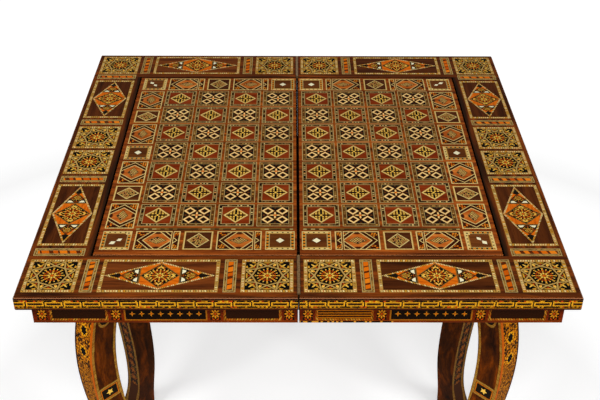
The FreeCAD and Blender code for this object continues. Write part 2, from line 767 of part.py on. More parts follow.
def makeSwivel():
    pivot = Vector(pivotX.value, pivotY.value, 0)
    washerTop = platformBottom - s.bushFlangeThick - s.slideClear
    nutTop = washerTop - s.washerThick
    nutBottom = nutTop - s.nutThick
    boltEnd = nutBottom - s.threadPast
    radius, headRadius = s.pivotRadius.value, s.pivotHeadRadius.value
    headBottom = (floorTop - s.pivotHeadThick).value
    bolt = [(0, boltEnd.value), (radius - 1, boltEnd.value), (radius, boltEnd.value + 1), (radius, headBottom),
            (headRadius, headBottom), (headRadius, floorTop.value), (0, floorTop.value)]
    keep(addTurning("pivot_bolt", bolt, pivot), "pivot_bolt")
    # Washer and nut, bored to the bolt.
    disc = addCylinder("pivot_washer_disc", s.bushFlange, s.washerThick, pivotX, pivotY, nutTop)
    hexagon = doc.addObject("Part::Prism", "pivot_nut_hexagon")
    hexagon.Polygon = 6
    bind(hexagon, "Circumradius", s.nutSide / asLength(math.sqrt(3)))
    bind(hexagon, "Height", s.nutThick)
    bindPlace(hexagon, pivotX, pivotY, nutBottom)
    for label, blank, low, height in (("pivot_washer", disc, nutTop, s.washerThick),
                                      ("pivot_nut", hexagon, nutBottom, s.nutThick)):
        bore = addCylinder(label + "_bore", s.pivotRadius + s.pivotClear, height, pivotX, pivotY, low)
        keep(addCut(label, blank, bore), label)
    # Flanged bush, fast in the platform.
    inner = (s.pivotRadius + s.pivotClear).value
    outer = (s.pivotRadius + s.bushWall).value
    flange = s.bushFlange.value
    bottom = (platformBottom - s.bushFlangeThick).value
    bush = [(inner, bottom), (flange, bottom), (flange, platformBottom.value), (outer, platformBottom.value),
            (outer, platformTop.value), (inner, platformTop.value)]
    keep(addTurning("pivot_bush", bush, pivot), "pivot_bush")
    low = platformTop - s.slotDepth + s.slotClear
    keep(addCylinder("swivel_stop_peg", s.pegRadius, boxBottom + s.pegGrip - low,
                     pivotX - s.stopRadius, pivotY, low), "swivel_stop_peg")


def arcSlot():
    # Blind slot in the platform that the stop peg runs in, a quarter turn round the pivot.
    half = s.pegRadius + s.slotClear
    low = platformTop - s.slotDepth
    rings = []
    for label, radius in (("slot_outer", s.stopRadius + half), ("slot_inner", s.stopRadius - half)):
        ring = addCylinder(label, radius, s.slotDepth + 1, pivotX, pivotY, low)
        bind(ring, "Angle", s.swivelTurn)
        ring.Placement = Placement(Vector(), Rotation(Vector(0, 0, 1), 180))
        bindPlace(ring, pivotX, pivotY, low)
        rings.append(ring)
    arc = addCut("slot_arc", rings[0], rings[1])
    ends = [addCylinder("slot_start", half, s.slotDepth + 1, pivotX - s.stopRadius, pivotY, low)]
    turn = math.radians(180 + s.swivelTurn.value)
    ends.append(addCylinder("slot_finish", half, s.slotDepth + 1,
                            pivotX + s.stopRadius * math.cos(turn), pivotY + s.stopRadius * math.sin(turn), low))
    return [arc] + ends


# ---- stand ---------------------------------------------------------------------------------------------


def platformScrewPlaces():
    lineY = (apronHalfY - s.apronThick / 2).value
    lineX = (apronHalfX - s.apronThick / 2).value
    places = [(x * lineX * 0.6, y * lineY) for x in (-1, 0, 1) for y in (-1, 1)]
    return places + [(x * lineX, 0) for x in (-1, 1)]


def platformScrews(grow):
    screws = []
    top = platformTop.value
    radius, head = s.screwRadius.value + grow, s.screwHeadRadius.value + grow
    for x, y in platformScrewPlaces():
        cone = Part.makeCone(radius, head, s.screwHeadRadius.value, Vector(x, y, top - s.screwHeadRadius.value))
        shank = Part.makeCylinder(radius, s.screwLength.value, Vector(x, y, top - s.screwLength.value))
        screws.append(cone.fuse(shank))
    return screws


def makePlatform():
    halfX = apronHalfX + s.platformLip
    halfY = apronHalfY + s.platformLip
    body, pad = plank("swivel_platform_body", -halfX, -halfY, platformBottom, halfX * 2, halfY * 2, s.platformThick)

    def isRim(middle, box):
        level = box.ZLength < 1
        inside = 1 < middle.x < 2 * halfX.value - 1 and 1 < middle.y < 2 * halfY.value - 1
        return level and not inside

    addFillet(body, pad, "swivel_platform_round", s.railRound, isRim)
    bushHole = addCylinder("bush_hole", s.pivotRadius + s.bushWall, s.platformThick, pivotX, pivotY, platformBottom)
    drills = addFeature("platform_drills", Part.makeCompound(platformScrews(s.tileClear.value)))
    tool = addFuse("platform_recess", [bushHole, drills] + arcSlot())
    keep(addCut("swivel_platform", body, tool), "swivel_platform")
    keep(addFeature("platform_screws", Part.makeCompound(platformScrews(0))), "platform_screws")
    padX, padY = apronHalfX - s.padInset, apronHalfY - s.padInset
    pads = []
    for number, (x, y) in enumerate(((-1, -1), (1, -1), (-1, 1), (1, 1))):
        pads.append(addCylinder(f"pad_{number}", s.padRadius, s.swivelGap - s.slideClear, padX * x, padY * y,
                                platformTop))
    keep(addGroup("slide_pads", pads), "slide_pads")


def corners():
    # The four corners of the stand: name, then +1 or -1 for left-right and front-back.
    return (("front_left", -1, -1), ("front_right", 1, -1), ("back_left", -1, 1), ("back_right", 1, 1))


def legCurve(points, toeSlope):
    # A smooth line down the leg through (offset, height) points: upright at its top, splayed at the toe.
    curve = Part.BSplineCurve()
    curve.interpolate(Points=[Vector(offset, 0, height) for offset, height in points],
                      InitialTangent=Vector(0, 0, -1), FinalTangent=Vector(toeSlope, 0, -1))
    return curve.toShape()


def extrudeOutline(edges, width):
    # The closed outline, drawn in the plane y = 0, made a slab of that width to both sides.
    face = Part.Face(Part.Wire(Part.__sortEdges__(edges)))
    slab = face.extrude(Vector(0, 2 * width, 0))
    slab.translate(Vector(0, -width, 0))
    return slab


def legShape():
    # One leg in its own frame: x runs outwards along the stand's diagonal, the origin is under the post.
    top, bottom = platformBottom.value, s.glideThick.value
    full, slim = s.legSide.value / 2, s.ankleSide.value / 2
    shin = full - (full - slim) / 4
    stations = [(0, s.neckHeight.value, full), (s.thighOut.value, s.thighHeight.value, full),
                (s.kneeOut.value, s.kneeHeight.value, full), (s.shinOut.value, s.shinHeight.value, shin),
                (s.ankleOut.value, s.ankleHeight.value, slim), (s.footOut.value, s.footHeight.value, slim),
                (s.toeOut.value, bottom, full)]
    neck, toe = s.neckHeight.value, s.toeOut.value
    slope = (s.toeOut - s.footOut).value / s.footHeight.value
    outer = legCurve([(out + half, height) for out, height, half in stations], slope)
    inner = legCurve([(out - half, height) for out, height, half in stations], slope)
    profile = [outer, inner,
               Part.makeLine(Vector(full, 0, top), Vector(full, 0, neck)),
               Part.makeLine(Vector(-full, 0, neck), Vector(-full, 0, top)),
               Part.makeLine(Vector(-full, 0, top), Vector(full, 0, top)),
               Part.makeLine(Vector(toe - full, 0, bottom), Vector(toe + full, 0, bottom))]
    # The cheeks stay parallel to the knee, taper to the ankle and flare again to the toe.
    cheek = [(half, height) for out, height, half in stations[2:]]
    knee = s.kneeHeight.value
    front = [legCurve(cheek, 0), legCurve([(-half, height) for half, height in cheek], 0),
             Part.makeLine(Vector(full, 0, top), Vector(full, 0, knee)),
             Part.makeLine(Vector(-full, 0, knee), Vector(-full, 0, top)),
             Part.makeLine(Vector(-full, 0, top), Vector(full, 0, top)),
             Part.makeLine(Vector(full, 0, bottom), Vector(-full, 0, bottom))]
    slab = extrudeOutline(front, s.legSide.value * 2)
    slab.rotate(Vector(), Vector(0, 0, 1), 90)
    return extrudeOutline(profile, s.legSide.value).common(slab)


def boltShapes(x, y, grow):
    # Two bolts through block, aprons and leg along the diagonal of one corner, heads inside.
    direction = Vector(x, y, 0).normalize()
    post = Vector(x * postX.value, y * postY.value, 0)
    tip = s.legSide.value / 2 - s.boltHeadThick.value
    solids = []
    for step in (-1, 1):
        height = (platformBottom + apronBottom).value / 2 + step * s.boltSpacing.value / 2
        end = post + direction * (tip - s.boltLength.value) + Vector(0, 0, height)
        shank = Part.makeCylinder(s.boltRadius.value + grow, s.boltLength.value + grow, end, direction)
        head = Part.makeCylinder(s.boltHeadRadius.value + grow, s.boltHeadThick.value,
                                 end - direction * s.boltHeadThick.value, direction)
        solids.append(head.fuse(shank))
    return solids


def makeAprons():
    label = {"front": (-1, "y"), "back": (1, "y"), "left": (-1, "x"), "right": (1, "x")}
    drills = []
    for name, x, y in corners():
        drills += boltShapes(x, y, s.boltHoleClear.value)
    drills += platformScrews(s.tileClear.value)
    for end, (sign, axis) in label.items():
        name = f"apron_{end}"
        if axis == "y":
            low = apronHalfY - s.apronThick if sign > 0 else -apronHalfY
            body, pad = plank(name + "_body", -apronHalfX, low, apronBottom,
                              apronHalfX * 2, s.apronThick, s.apronHeight)
        else:
            low = apronHalfX - s.apronThick if sign > 0 else -apronHalfX
            inner = apronHalfY - s.apronThick
            body, pad = plank(name + "_body", low, -inner, apronBottom, s.apronThick, inner * 2, s.apronHeight)
        keep(addCut(name, body, addFeature(name + "_drills", Part.makeCompound(drills))), name)


def makeLegs():
    leg = legShape()
    notch = Part.makeBox(2 * apronHalfX.value, 2 * apronHalfY.value, s.apronHeight.value,
                         Vector(-apronHalfX.value, -apronHalfY.value, apronBottom.value))
    bolts, blocks, glides = [], [], []
    for name, x, y in corners():
        placed = leg.copy()
        placed.rotate(Vector(), Vector(0, 0, 1), math.degrees(math.atan2(y, x)))
        placed.translate(Vector(x * postX.value, y * postY.value, 0))
        drills = boltShapes(x, y, s.boltHoleClear.value)
        keep(addFeature("leg_" + name, placed.cut([notch] + drills)), "leg_" + name)
        bolts += boltShapes(x, y, 0)
        # A corner block fills the corner behind the aprons, with its long side across the corner.
        cornerX = apronHalfX.value - s.apronThick.value
        cornerY = apronHalfY.value - s.apronThick.value
        base = (apronBottom + (s.apronHeight - s.blockHeight) / 2).value
        outline = [Vector(x * cornerX, y * cornerY, base), Vector(x * (cornerX - s.blockSide.value), y * cornerY, base),
                   Vector(x * cornerX, y * (cornerY - s.blockSide.value), base)]
        block = Part.Face(Part.makePolygon(outline + outline[:1])).extrude(Vector(0, 0, s.blockHeight.value))
        blocks.append(block.cut(drills))
        toe = Vector(x, y, 0).normalize() * s.toeOut.value
        place = Vector(x * postX.value, y * postY.value, 0) + toe
        glides.append(addCylinder(f"glide_{name}", s.glideRadius, s.glideThick, place.x, place.y, 0))
    keep(addFeature("corner_blocks", Part.makeCompound(blocks)), "corner_blocks")
    keep(addFeature("leg_bolts", Part.makeCompound(bolts)), "leg_bolts")
    keep(addGroup("foot_glides", glides), "foot_glides")


# ---- build, check and write ----------------------------------------------------------------------------


def build():
    makeLegs()
    makeAprons()
    makePlatform()
    makeSwivel()
    for side in (-1, 1):
        makeRails(side)
        makeWalls(side)
        makeFloor(side)
        makeLiner(side)
        makeBoard(side)
        makeFrameInlay(side)
        makeHinges(side)
    makeHingePins()
    doc.recompute()


def check():
    for obj in doc.Objects:
        if "Invalid" in obj.State or "Error" in obj.State:
            raise RuntimeError(f"{obj.Label}: {obj.State}")
    for part in parts:
        shape = part.Shape
        if shape.isNull() or not shape.isValid() or not shape.Solids:
            raise RuntimeError(f"{part.Label}: no valid solid")


def write():
    os.makedirs("parts", exist_ok=True)
    for part in parts:
        part.Shape.exportStep(f"parts/{part.Label}.step")
        box = part.Shape.BoundBox
        print(f"{part.Label:24s} {len(part.Shape.Solids):3d} solids {part.Shape.Volume / 1000:10.1f} cm3  "
              f"z {box.ZMin:7.1f} to {box.ZMax:7.1f}")


build()
check()
write()
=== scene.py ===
import bpy, bmesh
import math
from mathutils import Matrix, Vector


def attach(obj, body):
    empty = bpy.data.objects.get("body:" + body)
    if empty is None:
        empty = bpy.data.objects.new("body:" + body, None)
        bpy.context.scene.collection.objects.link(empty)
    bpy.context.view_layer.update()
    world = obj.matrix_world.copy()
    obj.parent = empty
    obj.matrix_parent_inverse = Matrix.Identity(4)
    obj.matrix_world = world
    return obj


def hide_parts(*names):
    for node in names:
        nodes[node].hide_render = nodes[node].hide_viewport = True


# Looks for the folding games table: camera, light, floor, woods, mosaic inlay and metal.
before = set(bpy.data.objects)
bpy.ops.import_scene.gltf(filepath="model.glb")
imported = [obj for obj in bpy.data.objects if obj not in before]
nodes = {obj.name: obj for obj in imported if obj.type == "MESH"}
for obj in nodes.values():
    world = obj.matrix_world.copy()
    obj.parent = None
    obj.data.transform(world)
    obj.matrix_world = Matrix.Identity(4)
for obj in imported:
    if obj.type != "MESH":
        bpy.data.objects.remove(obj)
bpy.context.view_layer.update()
scene = bpy.context.scene
sides = ("left", "right")
millimetres = 1000  # in a metre; the patterns are laid out in millimetres
diagonal = math.sqrt(0.5)
print("frame:", len(nodes), "nodes")


def boxOf(name):  # a node's lowest and highest corner in millimetres
    places = [vertex.co * millimetres for vertex in nodes[name].data.vertices]
    low = [round(min(place[axis] for place in places), 1) for axis in range(3)]
    high = [round(max(place[axis] for place in places), 1) for axis in range(3)]
    return low, high


def endsOf(outer, far):  # how far the outer faces lie from the middle, in x and in y
    return boxOf(outer)[1][0], boxOf(far)[1][1]


def ink(red, green, blue):  # a screen colour, made linear
    linear = []
    for level in (red / 255, green / 255, blue / 255):
        linear.append(level / 12.92 if level <= 0.04045 else ((level + 0.055) / 1.055) ** 2.4)
    return (*linear, 1)


def grey(level):
    return (level, level, level, 1)


white = grey(1)
tints = {
    "black": ink(12, 9, 4), "night": ink(24, 17, 8), "maroon": ink(56, 20, 4),
    "brown": ink(58, 28, 8), "umber": ink(86, 50, 16), "sienna": ink(98, 48, 12),
    "olive": ink(116, 84, 36), "brass": ink(122, 76, 8), "brick": ink(140, 38, 4),
    "rust": ink(166, 54, 6), "bone": ink(180, 156, 96), "straw": ink(182, 136, 58),
    "gilt": ink(202, 142, 22), "gold": ink(206, 148, 42), "orange": ink(222, 106, 8),
    "cream": ink(222, 190, 116), "peach": ink(232, 168, 88), "ivory": ink(238, 216, 146),
    "corn": ink(240, 190, 78), "pearl": ink(246, 238, 196),
}


def inked(colour):  # a tint by its name, any other colour as it is
    return tints[colour] if isinstance(colour, str) else colour


# One value, colour or vector of a Finish. Sums on it add Math nodes, and masks are 0 or 1.
class Signal:
    def __init__(self, finish, socket):
        self.finish = finish
        self.socket = socket

    def maths(self, operation, *values):
        return self.finish.node("ShaderNodeMath", {"operation": operation}, dict(enumerate(values)))

    def of(self, operation, *others):
        return self.maths(operation, self, *others)

    def __add__(self, other):
        return self.of("ADD", other)

    def __sub__(self, other):
        return self.of("SUBTRACT", other)

    def __rsub__(self, other):
        return self.maths("SUBTRACT", other, self)

    def __mul__(self, other):
        return self.of("MULTIPLY", other)

    def __truediv__(self, other):
        return self.of("DIVIDE", other)

    def __rtruediv__(self, other):
        return self.maths("DIVIDE", other, self)

    def __lt__(self, other):
        return self.of("LESS_THAN", other)

    def __gt__(self, other):
        return self.of("GREATER_THAN", other)

    def __and__(self, other):
        return self.of("MULTIPLY", other)

    def __or__(self, other):
        return self.of("MAXIMUM", other)

    def __abs__(self):
        return self.of("ABSOLUTE")

    __radd__ = __add__
    __rmul__ = __mul__
    __rand__ = __and__
    __ror__ = __or__

    def least(self, other):
        return self.of("MINIMUM", other)

    def most(self, other):
        return self.of("MAXIMUM", other)

    def limited(self, low, high):
        return self.most(low).least(high)

    def span(self, low, high):  # 1 between low and high
        return self.of("COMPARE", (low + high) / 2, (high - low) / 2)

    def fold(self, pitch):  # distance to the nearest whole number of pitches
        return self.of("PINGPONG", pitch / 2)

    def foldOdd(self, pitch):  # the same, half a pitch on
        return (self + pitch / 2).fold(pitch)


# Layers are (mask, colour) pairs, laid one over the other by Finish.paint.
def above(value, *steps):  # a layer where the value is over each step
    return [(value > step, colour) for step, colour in steps]


def below(value, *steps):  # a layer where the value is under each step
    return [(value < step, colour) for step, colour in steps]


def within(inside, *layers):  # the same layers, only inside a mask
    return [(inside & mask, colour) for mask, colour in layers]


def setStops(ramp, stops):
    while len(ramp.elements) > len(stops):
        ramp.elements.remove(ramp.elements[-1])
    while len(ramp.elements) < len(stops):
        ramp.elements.new(1)
    for element, (spot, colour) in zip(ramp.elements, stops):
        element.position = spot
        element.color = inked(colour)


def setBend(mapping, spots):
    line = mapping.curves[0]
    while len(line.points) < len(spots):
        line.points.new(0.5, 0.5)
    for point, spot in zip(line.points, spots):
        point.location = spot
    mapping.update()


varnish = {"rough": 0.42, "coat": 0.05, "coatRough": 0.18, "relief": 0.0002}

# A twisted line of light beads with dark ones between them.
cordLook = {
    "pitch": 3.8, "slant": 0.5, "gap": 0.36, "gapShare": 0.9, "rustShare": 0.55, "gapLot": 70,
    "beads": ((0.0, "gold"), (0.2, "straw"), (0.45, "cream"), (0.8, "ivory"), (1.0, "cream")),
}

# Beads scattered over a grid: their size in pitches, and where in their share each tint starts.
bitsLook = {
    "half": (0.42, 0.38), "lotStep": (37.7, 11.3),
    "beads": ((0.0, "rust"), (0.3, "orange"), (0.5, "gold"), (1.0, "corn")),
}

# A flower of beads: spokes, distance out, half length, half width and tint of each ring.
flowerRings = (
    (16, 8.4, 1.1, 1.0, "rust"), (16, 12.0, 1.7, 1.5, "rust"), (8, 9.4, 1.5, 1.6, "gold"),
    (8, 12.2, 1.3, 1.9, "orange"), (16, 15.4, 1.6, 1.0, "corn"), (8, 18.2, 1.2, 2.0, "gold"),
    (8, 5.4, 2.1, 1.6, "corn"),
)
flowerEye = ((2.7, "orange"), (1.1, "rust"))


class Finish:
    def __init__(self, name, store="materials"):
        self.block = getattr(bpy.data, store).new(name)
        self.block.use_nodes = True
        self.tree = self.block.node_tree
        self.tree.nodes.clear()

    def node(self, kind, settings=None, values=None, output=0):
        node = self.tree.nodes.new(kind)
        for key, value in (settings or {}).items():
            if key == "stops":
                setStops(node.color_ramp, value)
            elif key == "bend":
                setBend(node.mapping, value)
            else:
                setattr(node, key, value)
        for key, value in (values or {}).items():
            if isinstance(value, Signal):
                self.tree.links.new(value.socket, node.inputs[key])
            else:
                node.inputs[key].default_value = value
        return Signal(self, node.outputs[output]) if len(node.outputs) else None

    def scaled(self, vector, scale):
        return self.node("ShaderNodeVectorMath", {"operation": "SCALE"}, {0: vector, "Scale": scale})

    def parts(self, vector):  # x, y and z of a vector
        split = self.node("ShaderNodeSeparateXYZ", None, {0: vector}).socket.node
        return [Signal(self, output) for output in split.outputs]

    def join(self, x, y, z):
        return self.node("ShaderNodeCombineXYZ", None, {0: x, 1: y, 2: z})

    def here(self):  # place on the part in millimetres
        return self.parts(self.scaled(self.node("ShaderNodeTexCoord", output="Object"), millimetres))

    def facing(self):  # which way the surface points
        return self.parts(self.node("ShaderNodeNewGeometry", output="Normal"))

    def held(self, name, output="Vector"):  # what the mesh carries under that name
        return self.node("ShaderNodeAttribute", {"attribute_name": name}, output=output)

    def seen(self):  # 1 for the camera and in mirrors and glass, 0 for the light on other things
        camera = self.node("ShaderNodeLightPath", output="Is Camera Ray")
        rays = camera.socket.node.outputs
        return camera | Signal(self, rays["Is Glossy Ray"]) | Signal(self, rays["Is Transmission Ray"])

    def choose(self, mask, low, high):
        return self.node("ShaderNodeMix", {"data_type": "FLOAT"}, {0: mask, 2: low, 3: high})

    def mix(self, mask, low, high, blend="MIX"):
        settings = {"data_type": "RGBA", "blend_type": blend}
        return self.node("ShaderNodeMix", settings, {0: mask, 6: inked(low), 7: inked(high)}, output=2)

    def multiplied(self, colour, darkeningTint, share=1):
        return self.mix(share, colour, darkeningTint, "MULTIPLY")

    def paint(self, ground, *layers):
        for mask, colour in layers:
            ground = self.mix(mask, ground, colour)
        return ground

    def ramp(self, value, *stops):
        return self.node("ShaderNodeValToRGB", {"stops": stops}, {0: value})

    def noise(self, vector, detail, rough, bend=0):
        values = {"Vector": vector, "Scale": 1, "Detail": detail, "Roughness": rough, "Distortion": bend}
        return self.node("ShaderNodeTexNoise", None, values)

    def speckle(self, place, scale, detail, rough):
        return self.noise(self.scaled(self.join(*place), scale), detail, rough)

    def chance(self, value):  # a steady random number for every whole value
        settings = {"noise_dimensions": "1D"}
        return self.node("ShaderNodeTexWhiteNoise", settings, {"W": value.of("FLOOR")}, "Value")

    def oval(self, x, y, halfX, halfY):  # 1 inside an ellipse
        across = x / halfX
        up = y / halfY
        return (across * across + up * up) < 1

    def lozenge(self, x, y, halfX, halfY):  # distance inside a lozenge's side, by its half diagonals
        scale = halfX * halfY / math.hypot(halfX, halfY)
        return (1 - x / halfX - y / halfY) * scale

    def spokes(self, x, y, count):  # distance from the middle, then along the nearest spoke and beside it
        reach = (x * x + y * y).of("SQRT")
        angle = y.of("ARCTAN2", x).of("PINGPONG", math.pi / count)
        return reach, reach * angle.of("COSINE"), reach * angle.of("SINE")

    def cord(self, run, away, pitch=cordLook["pitch"], slant=cordLook["slant"]):
        look = cordLook
        turn = (run + away * slant) / pitch
        bead = self.ramp(self.chance(turn), *look["beads"])
        gap = self.mix(self.chance(turn + look["gapLot"]) > look["rustShare"], "umber", "rust")
        return self.mix((turn.of("FRACT") < look["gap"]) * look["gapShare"], bead, gap)

    def bits(self, x, y, pitch, share, veil=None, veiled=0.5):
        look = bitsLook
        column = (x / pitch).of("FLOOR") * look["lotStep"][0]
        lot = self.chance(column + (y / pitch).of("FLOOR") * look["lotStep"][1])
        halfX, halfY = look["half"]
        bead = self.oval(x.foldOdd(pitch), y.foldOdd(pitch), pitch * halfX, pitch * halfY)
        hue = self.ramp(lot, *((spot * share, tint) for spot, tint in look["beads"]))
        if veil:
            hue = self.mix(veiled, hue, veil)
        return bead & (lot < share), hue

    def flower(self, x, y, size):
        folded = {count: self.spokes(x / size, y / size, count) for count in (8, 16)}
        layers = []
        for count, out, halfLong, halfWide, tint in flowerRings:
            reach, along, aside = folded[count]
            layers.append((self.oval(along - out, aside, halfLong, halfWide), tint))
        return layers + below(reach, *flowerEye)

    def close(self, colour, relief, rough=varnish["rough"], depth=varnish["relief"],
              coat=varnish["coat"], shine=0.0, metal=0):
        bump = self.node("ShaderNodeBump", None, {"Height": relief, "Distance": depth})
        body = self.node("ShaderNodeBsdfPrincipled", None, {
            "Base Color": colour, "Roughness": rough, "Metallic": metal, "Specular IOR Level": shine,
            "Coat Weight": coat, "Coat Roughness": varnish["coatRough"], "Normal": bump})
        self.node("ShaderNodeOutputMaterial", None, {"Surface": body})
        return self.block


camera = {
    "x": -0.0097, "y": -1.4281, "z": 1.6597, "down": 34.34, "turn": -0.576, "roll": 0.38,
    "lens": 58.3, "sensor": 36, "farthest": 50,
}


def setCamera(c):
    data = bpy.data.cameras.new("tableCamera")
    data.lens = c["lens"]
    data.sensor_width = c["sensor"]
    data.clip_end = c["farthest"]
    holder = bpy.data.objects.new("tableCamera", data)
    holder.location = (c["x"], c["y"], c["z"])
    tilt = Matrix.Rotation(math.radians(90 - c["down"]), 4, "X")
    roll = Matrix.Rotation(math.radians(c["roll"]), 4, "Z")
    turn = Matrix.Rotation(math.radians(c["turn"]), 4, "Z")
    holder.rotation_euler = (turn @ (tilt @ roll)).to_euler()
    scene.collection.objects.link(holder)
    scene.camera = holder


lamps = {
    "left": {"at": (-2.5, -2.7, 3.2), "size": 2.0, "watts": 118},
    "right": {"at": (2.85, -2.7, 3.2), "size": 2.0, "watts": 121},
    "front": {"at": (0.1, -3.0, 3.2), "size": 1.1, "watts": 47},
}
lampAim = (0, 0, 0.5)
sky = {"fill": 0.09, "shown": 1.0}


def setLamp(name, lamp):
    data = bpy.data.lights.new(name, "AREA")
    data.energy = lamp["watts"]
    data.size = lamp["size"]
    holder = bpy.data.objects.new(name, data)
    holder.location = lamp["at"]
    aim = Vector(lampAim) - Vector(lamp["at"])
    holder.rotation_euler = aim.to_track_quat("-Z", "Y").to_euler()
    scene.collection.objects.link(holder)


def setSky(levels):
    f = Finish("studio", "worlds")
    strength = f.choose(f.seen(), levels["fill"], levels["shown"])
    light = f.node("ShaderNodeBackground", None, {"Strength": strength})
    f.node("ShaderNodeOutputWorld", None, {"Surface": light})
    scene.world = f.block


setCamera(camera)
for lampName, lamp in lamps.items():
    setLamp(lampName, lamp)
setSky(sky)
scene.view_settings.view_transform = "Standard"
print("camera and light set")

# Woods: streaks that run along one axis, with a broad figure and fine pores.
walnut = {
    "rail": {"dark": ink(50, 21, 6), "mid": ink(92, 42, 10), "light": ink(146, 68, 16)},
    "tray": {"dark": ink(60, 24, 3), "mid": ink(118, 48, 5), "light": ink(164, 74, 8)},
    "board": {"dark": ink(76, 32, 8), "mid": ink(134, 62, 16), "light": ink(186, 96, 30)},
    "leg": {"dark": ink(34, 12, 1), "mid": ink(76, 32, 1), "light": ink(136, 60, 3)},
    "inside": {"dark": ink(58, 34, 18), "mid": ink(96, 60, 34), "light": ink(128, 84, 50)},
    "shade": {"dark": ink(14, 7, 3), "mid": ink(24, 12, 5), "light": ink(36, 18, 8)},
    "beech": {"dark": ink(150, 112, 74), "mid": ink(180, 140, 98), "light": ink(200, 164, 120)},
}
woodGrain = {
    "scale": 0.09, "stretch": 15, "finer": 9, "dark": 0.32, "mid": 0.5, "light": 0.7,
    "pores": ((0.34, (0.45, 0.4, 0.36, 1)), (0.5, white)), "poreShare": 0.6,
}


def wood(f, place, along, tone, figure=1.0, stretch=woodGrain["stretch"]):
    g = woodGrain
    squeeze = [g["scale"] * figure] * 3
    squeeze["xyz".index(along)] /= stretch
    streaks = f.join(*(axis * scale for axis, scale in zip(place, squeeze)))
    broad = f.noise(streaks, 4, 0.6, 0.6)
    fine = f.noise(f.scaled(streaks, g["finer"]), 2, 0.7)
    colour = f.ramp(broad, *((g[part], tone[part]) for part in ("dark", "mid", "light")))
    return f.multiplied(colour, f.ramp(fine, *g["pores"]), g["poreShare"]), fine


def dress(material, *names):
    for name in names:
        data = nodes[name].data
        data.materials.clear()
        data.materials.append(material)


def plainWood(name, along, tone):
    f = Finish(name)
    colour, fine = wood(f, f.here(), along, walnut[tone])
    return f.close(colour, fine)


def onSide(f, x, y, ends, skin=1.0):
    # Upright outer faces: a mask of them, the distance from the face's middle, and half its length.
    endX, endY = ends
    overX = abs(x) - endX
    overY = abs(y) - endY
    side = overX > overY
    return overX.most(overY) > -skin, f.choose(side, abs(x), abs(y)), f.choose(side, endX, endY)


# Rails: on the outer faces a chain of long loops between two rows of dashes.
railBand = {
    "skin": 1.7, "middle": 10.2, "pitch": 26.4, "loop": 12.2, "tall": 3.6, "link": 0.6,
    "rim": {"end": 1.7, "side": 1.3}, "slot": {"end": 2.8, "half": 1.4},
    "row": (3.85, 6.35), "dash": 2.9, "upperLot": 40,
    "dashes": ((0.4, "black"), (0.52, "maroon"), (0.64, "rust"), (0.7, "brass"), (1.0, "gilt")),
    "chips": {"from": 5.8, "pitch": 2.2, "share": 0.7},
    "cap": {"tall": 3.4, "pitch": 9, "share": 0.6, "dark": ink(26, 10, 4), "light": ink(48, 16, 4)},
    "arris": {"from": 0.8, "to": 0.1, "share": 0.6, "tint": ink(168, 112, 74)},
    "foot": -8.0, "seam": 1.3, "inner": {"reach": 12, "run": 11, "share": 0.85},
}


def railFinish(name, along):
    f = Finish(name)
    x, y, z = f.here()
    b, rim, slot = railBand, railBand["rim"], railBand["slot"]
    chips, cap, arris, inner = b["chips"], b["cap"], b["arris"], b["inner"]
    low, high = boxOf("right_rail_outer")
    top = high[2]
    outward, run = onSide(f, x, y, endsOf("right_rail_outer", "right_rail_far"), b["skin"])[:2]
    height = z - (top - b["middle"])
    rise = abs(height)
    near = run.fold(b["pitch"])
    onLoop = near < b["loop"]
    onRim = (near > b["loop"] - rim["end"]) | (rise > b["tall"] - rim["side"])
    onSlot = (near < b["loop"] - slot["end"]) & (rise < slot["half"])
    dashes = f.ramp(f.chance(run / b["dash"] + (height > 0) * b["upperLot"]), *b["dashes"])
    capTint = f.mix(f.chance(run / cap["pitch"]) > cap["share"], cap["dark"], cap["light"])
    face = f.paint(
        "brass",
        (rise > chips["from"], f.mix(f.chance(run / chips["pitch"]) > chips["share"], "brass", "umber")),
        (rise.span(*b["row"]), dashes),
        (rise < b["tall"], "brass"),
        ((rise < b["tall"]) & onRim & onLoop, "gilt"),
        (onSlot, "night"),
        ((rise < b["tall"] + b["link"]) & (near > b["loop"]), "night"),
        (z > top - cap["tall"], capTint),
        # painted highlight: a light line along the top arris of the outer faces
        (z.span(top - arris["from"], top - arris["to"]) * arris["share"], arris["tint"]),
        (height < b["foot"], "maroon"),
    )
    # Painted shadow that darkens the wood towards the board and the gap round it.
    shadow = ((low[0] + inner["reach"] - abs(x)) / inner["run"]).limited(0, 1) * (abs(y) < high[1])
    colour, fine = wood(f, (x, y, z), along, walnut["rail"])
    colour = f.paint(
        colour,
        (shadow * inner["share"], "night"),
        (outward, face),
        # painted shade: the ends at the seam and the upright faces round the well are near black, and the
        # seam has no coat
        (abs(x) < b["seam"], "night"),
        ((abs(f.facing()[2]) < 0.5) & (1 - outward), "night"),
    )
    return f.close(colour, fine, coat=(abs(x) > b["seam"]) * varnish["coat"])


# Tray walls: on each half of an outer face a strip of stars, a square and a panel at either side of it,
# and a square at the end.
wallBand = {
    "middle": 17.5, "half": 12.5, "square": 8, "endSquare": 13.5, "starSquare": 11.6, "flower": 0.75,
    "squareRim": ((0, "umber"), (1.0, "night")), "petal": (4.5, 2.3, 1.15), "eye": 1.5,
    "ring": {"at": 8.2, "half": 0.7, "beside": 1.4},
    "panelEnd": 24.6, "panelStart": 23.3, "panelRim": 3.4, "panelLine": (0.6, 1.2), "panel": ink(48, 28, 14),
    "stars": 59.7, "starPitch": 13.7, "starRim": 2.2, "blades": ((4.8, 1.5), (1.5, 5.2)), "starEye": 1.6,
    "stripes": {"until": 110, "pitch": 4.6, "half": 0.9},
    "foot": {"until": 137, "tall": 3.8, "pitch": 3.2, "share": 0.55},
    "darkeningTint": ink(192, 150, 70), "footShadeEase": 0.5, "seam": 1.6,
}


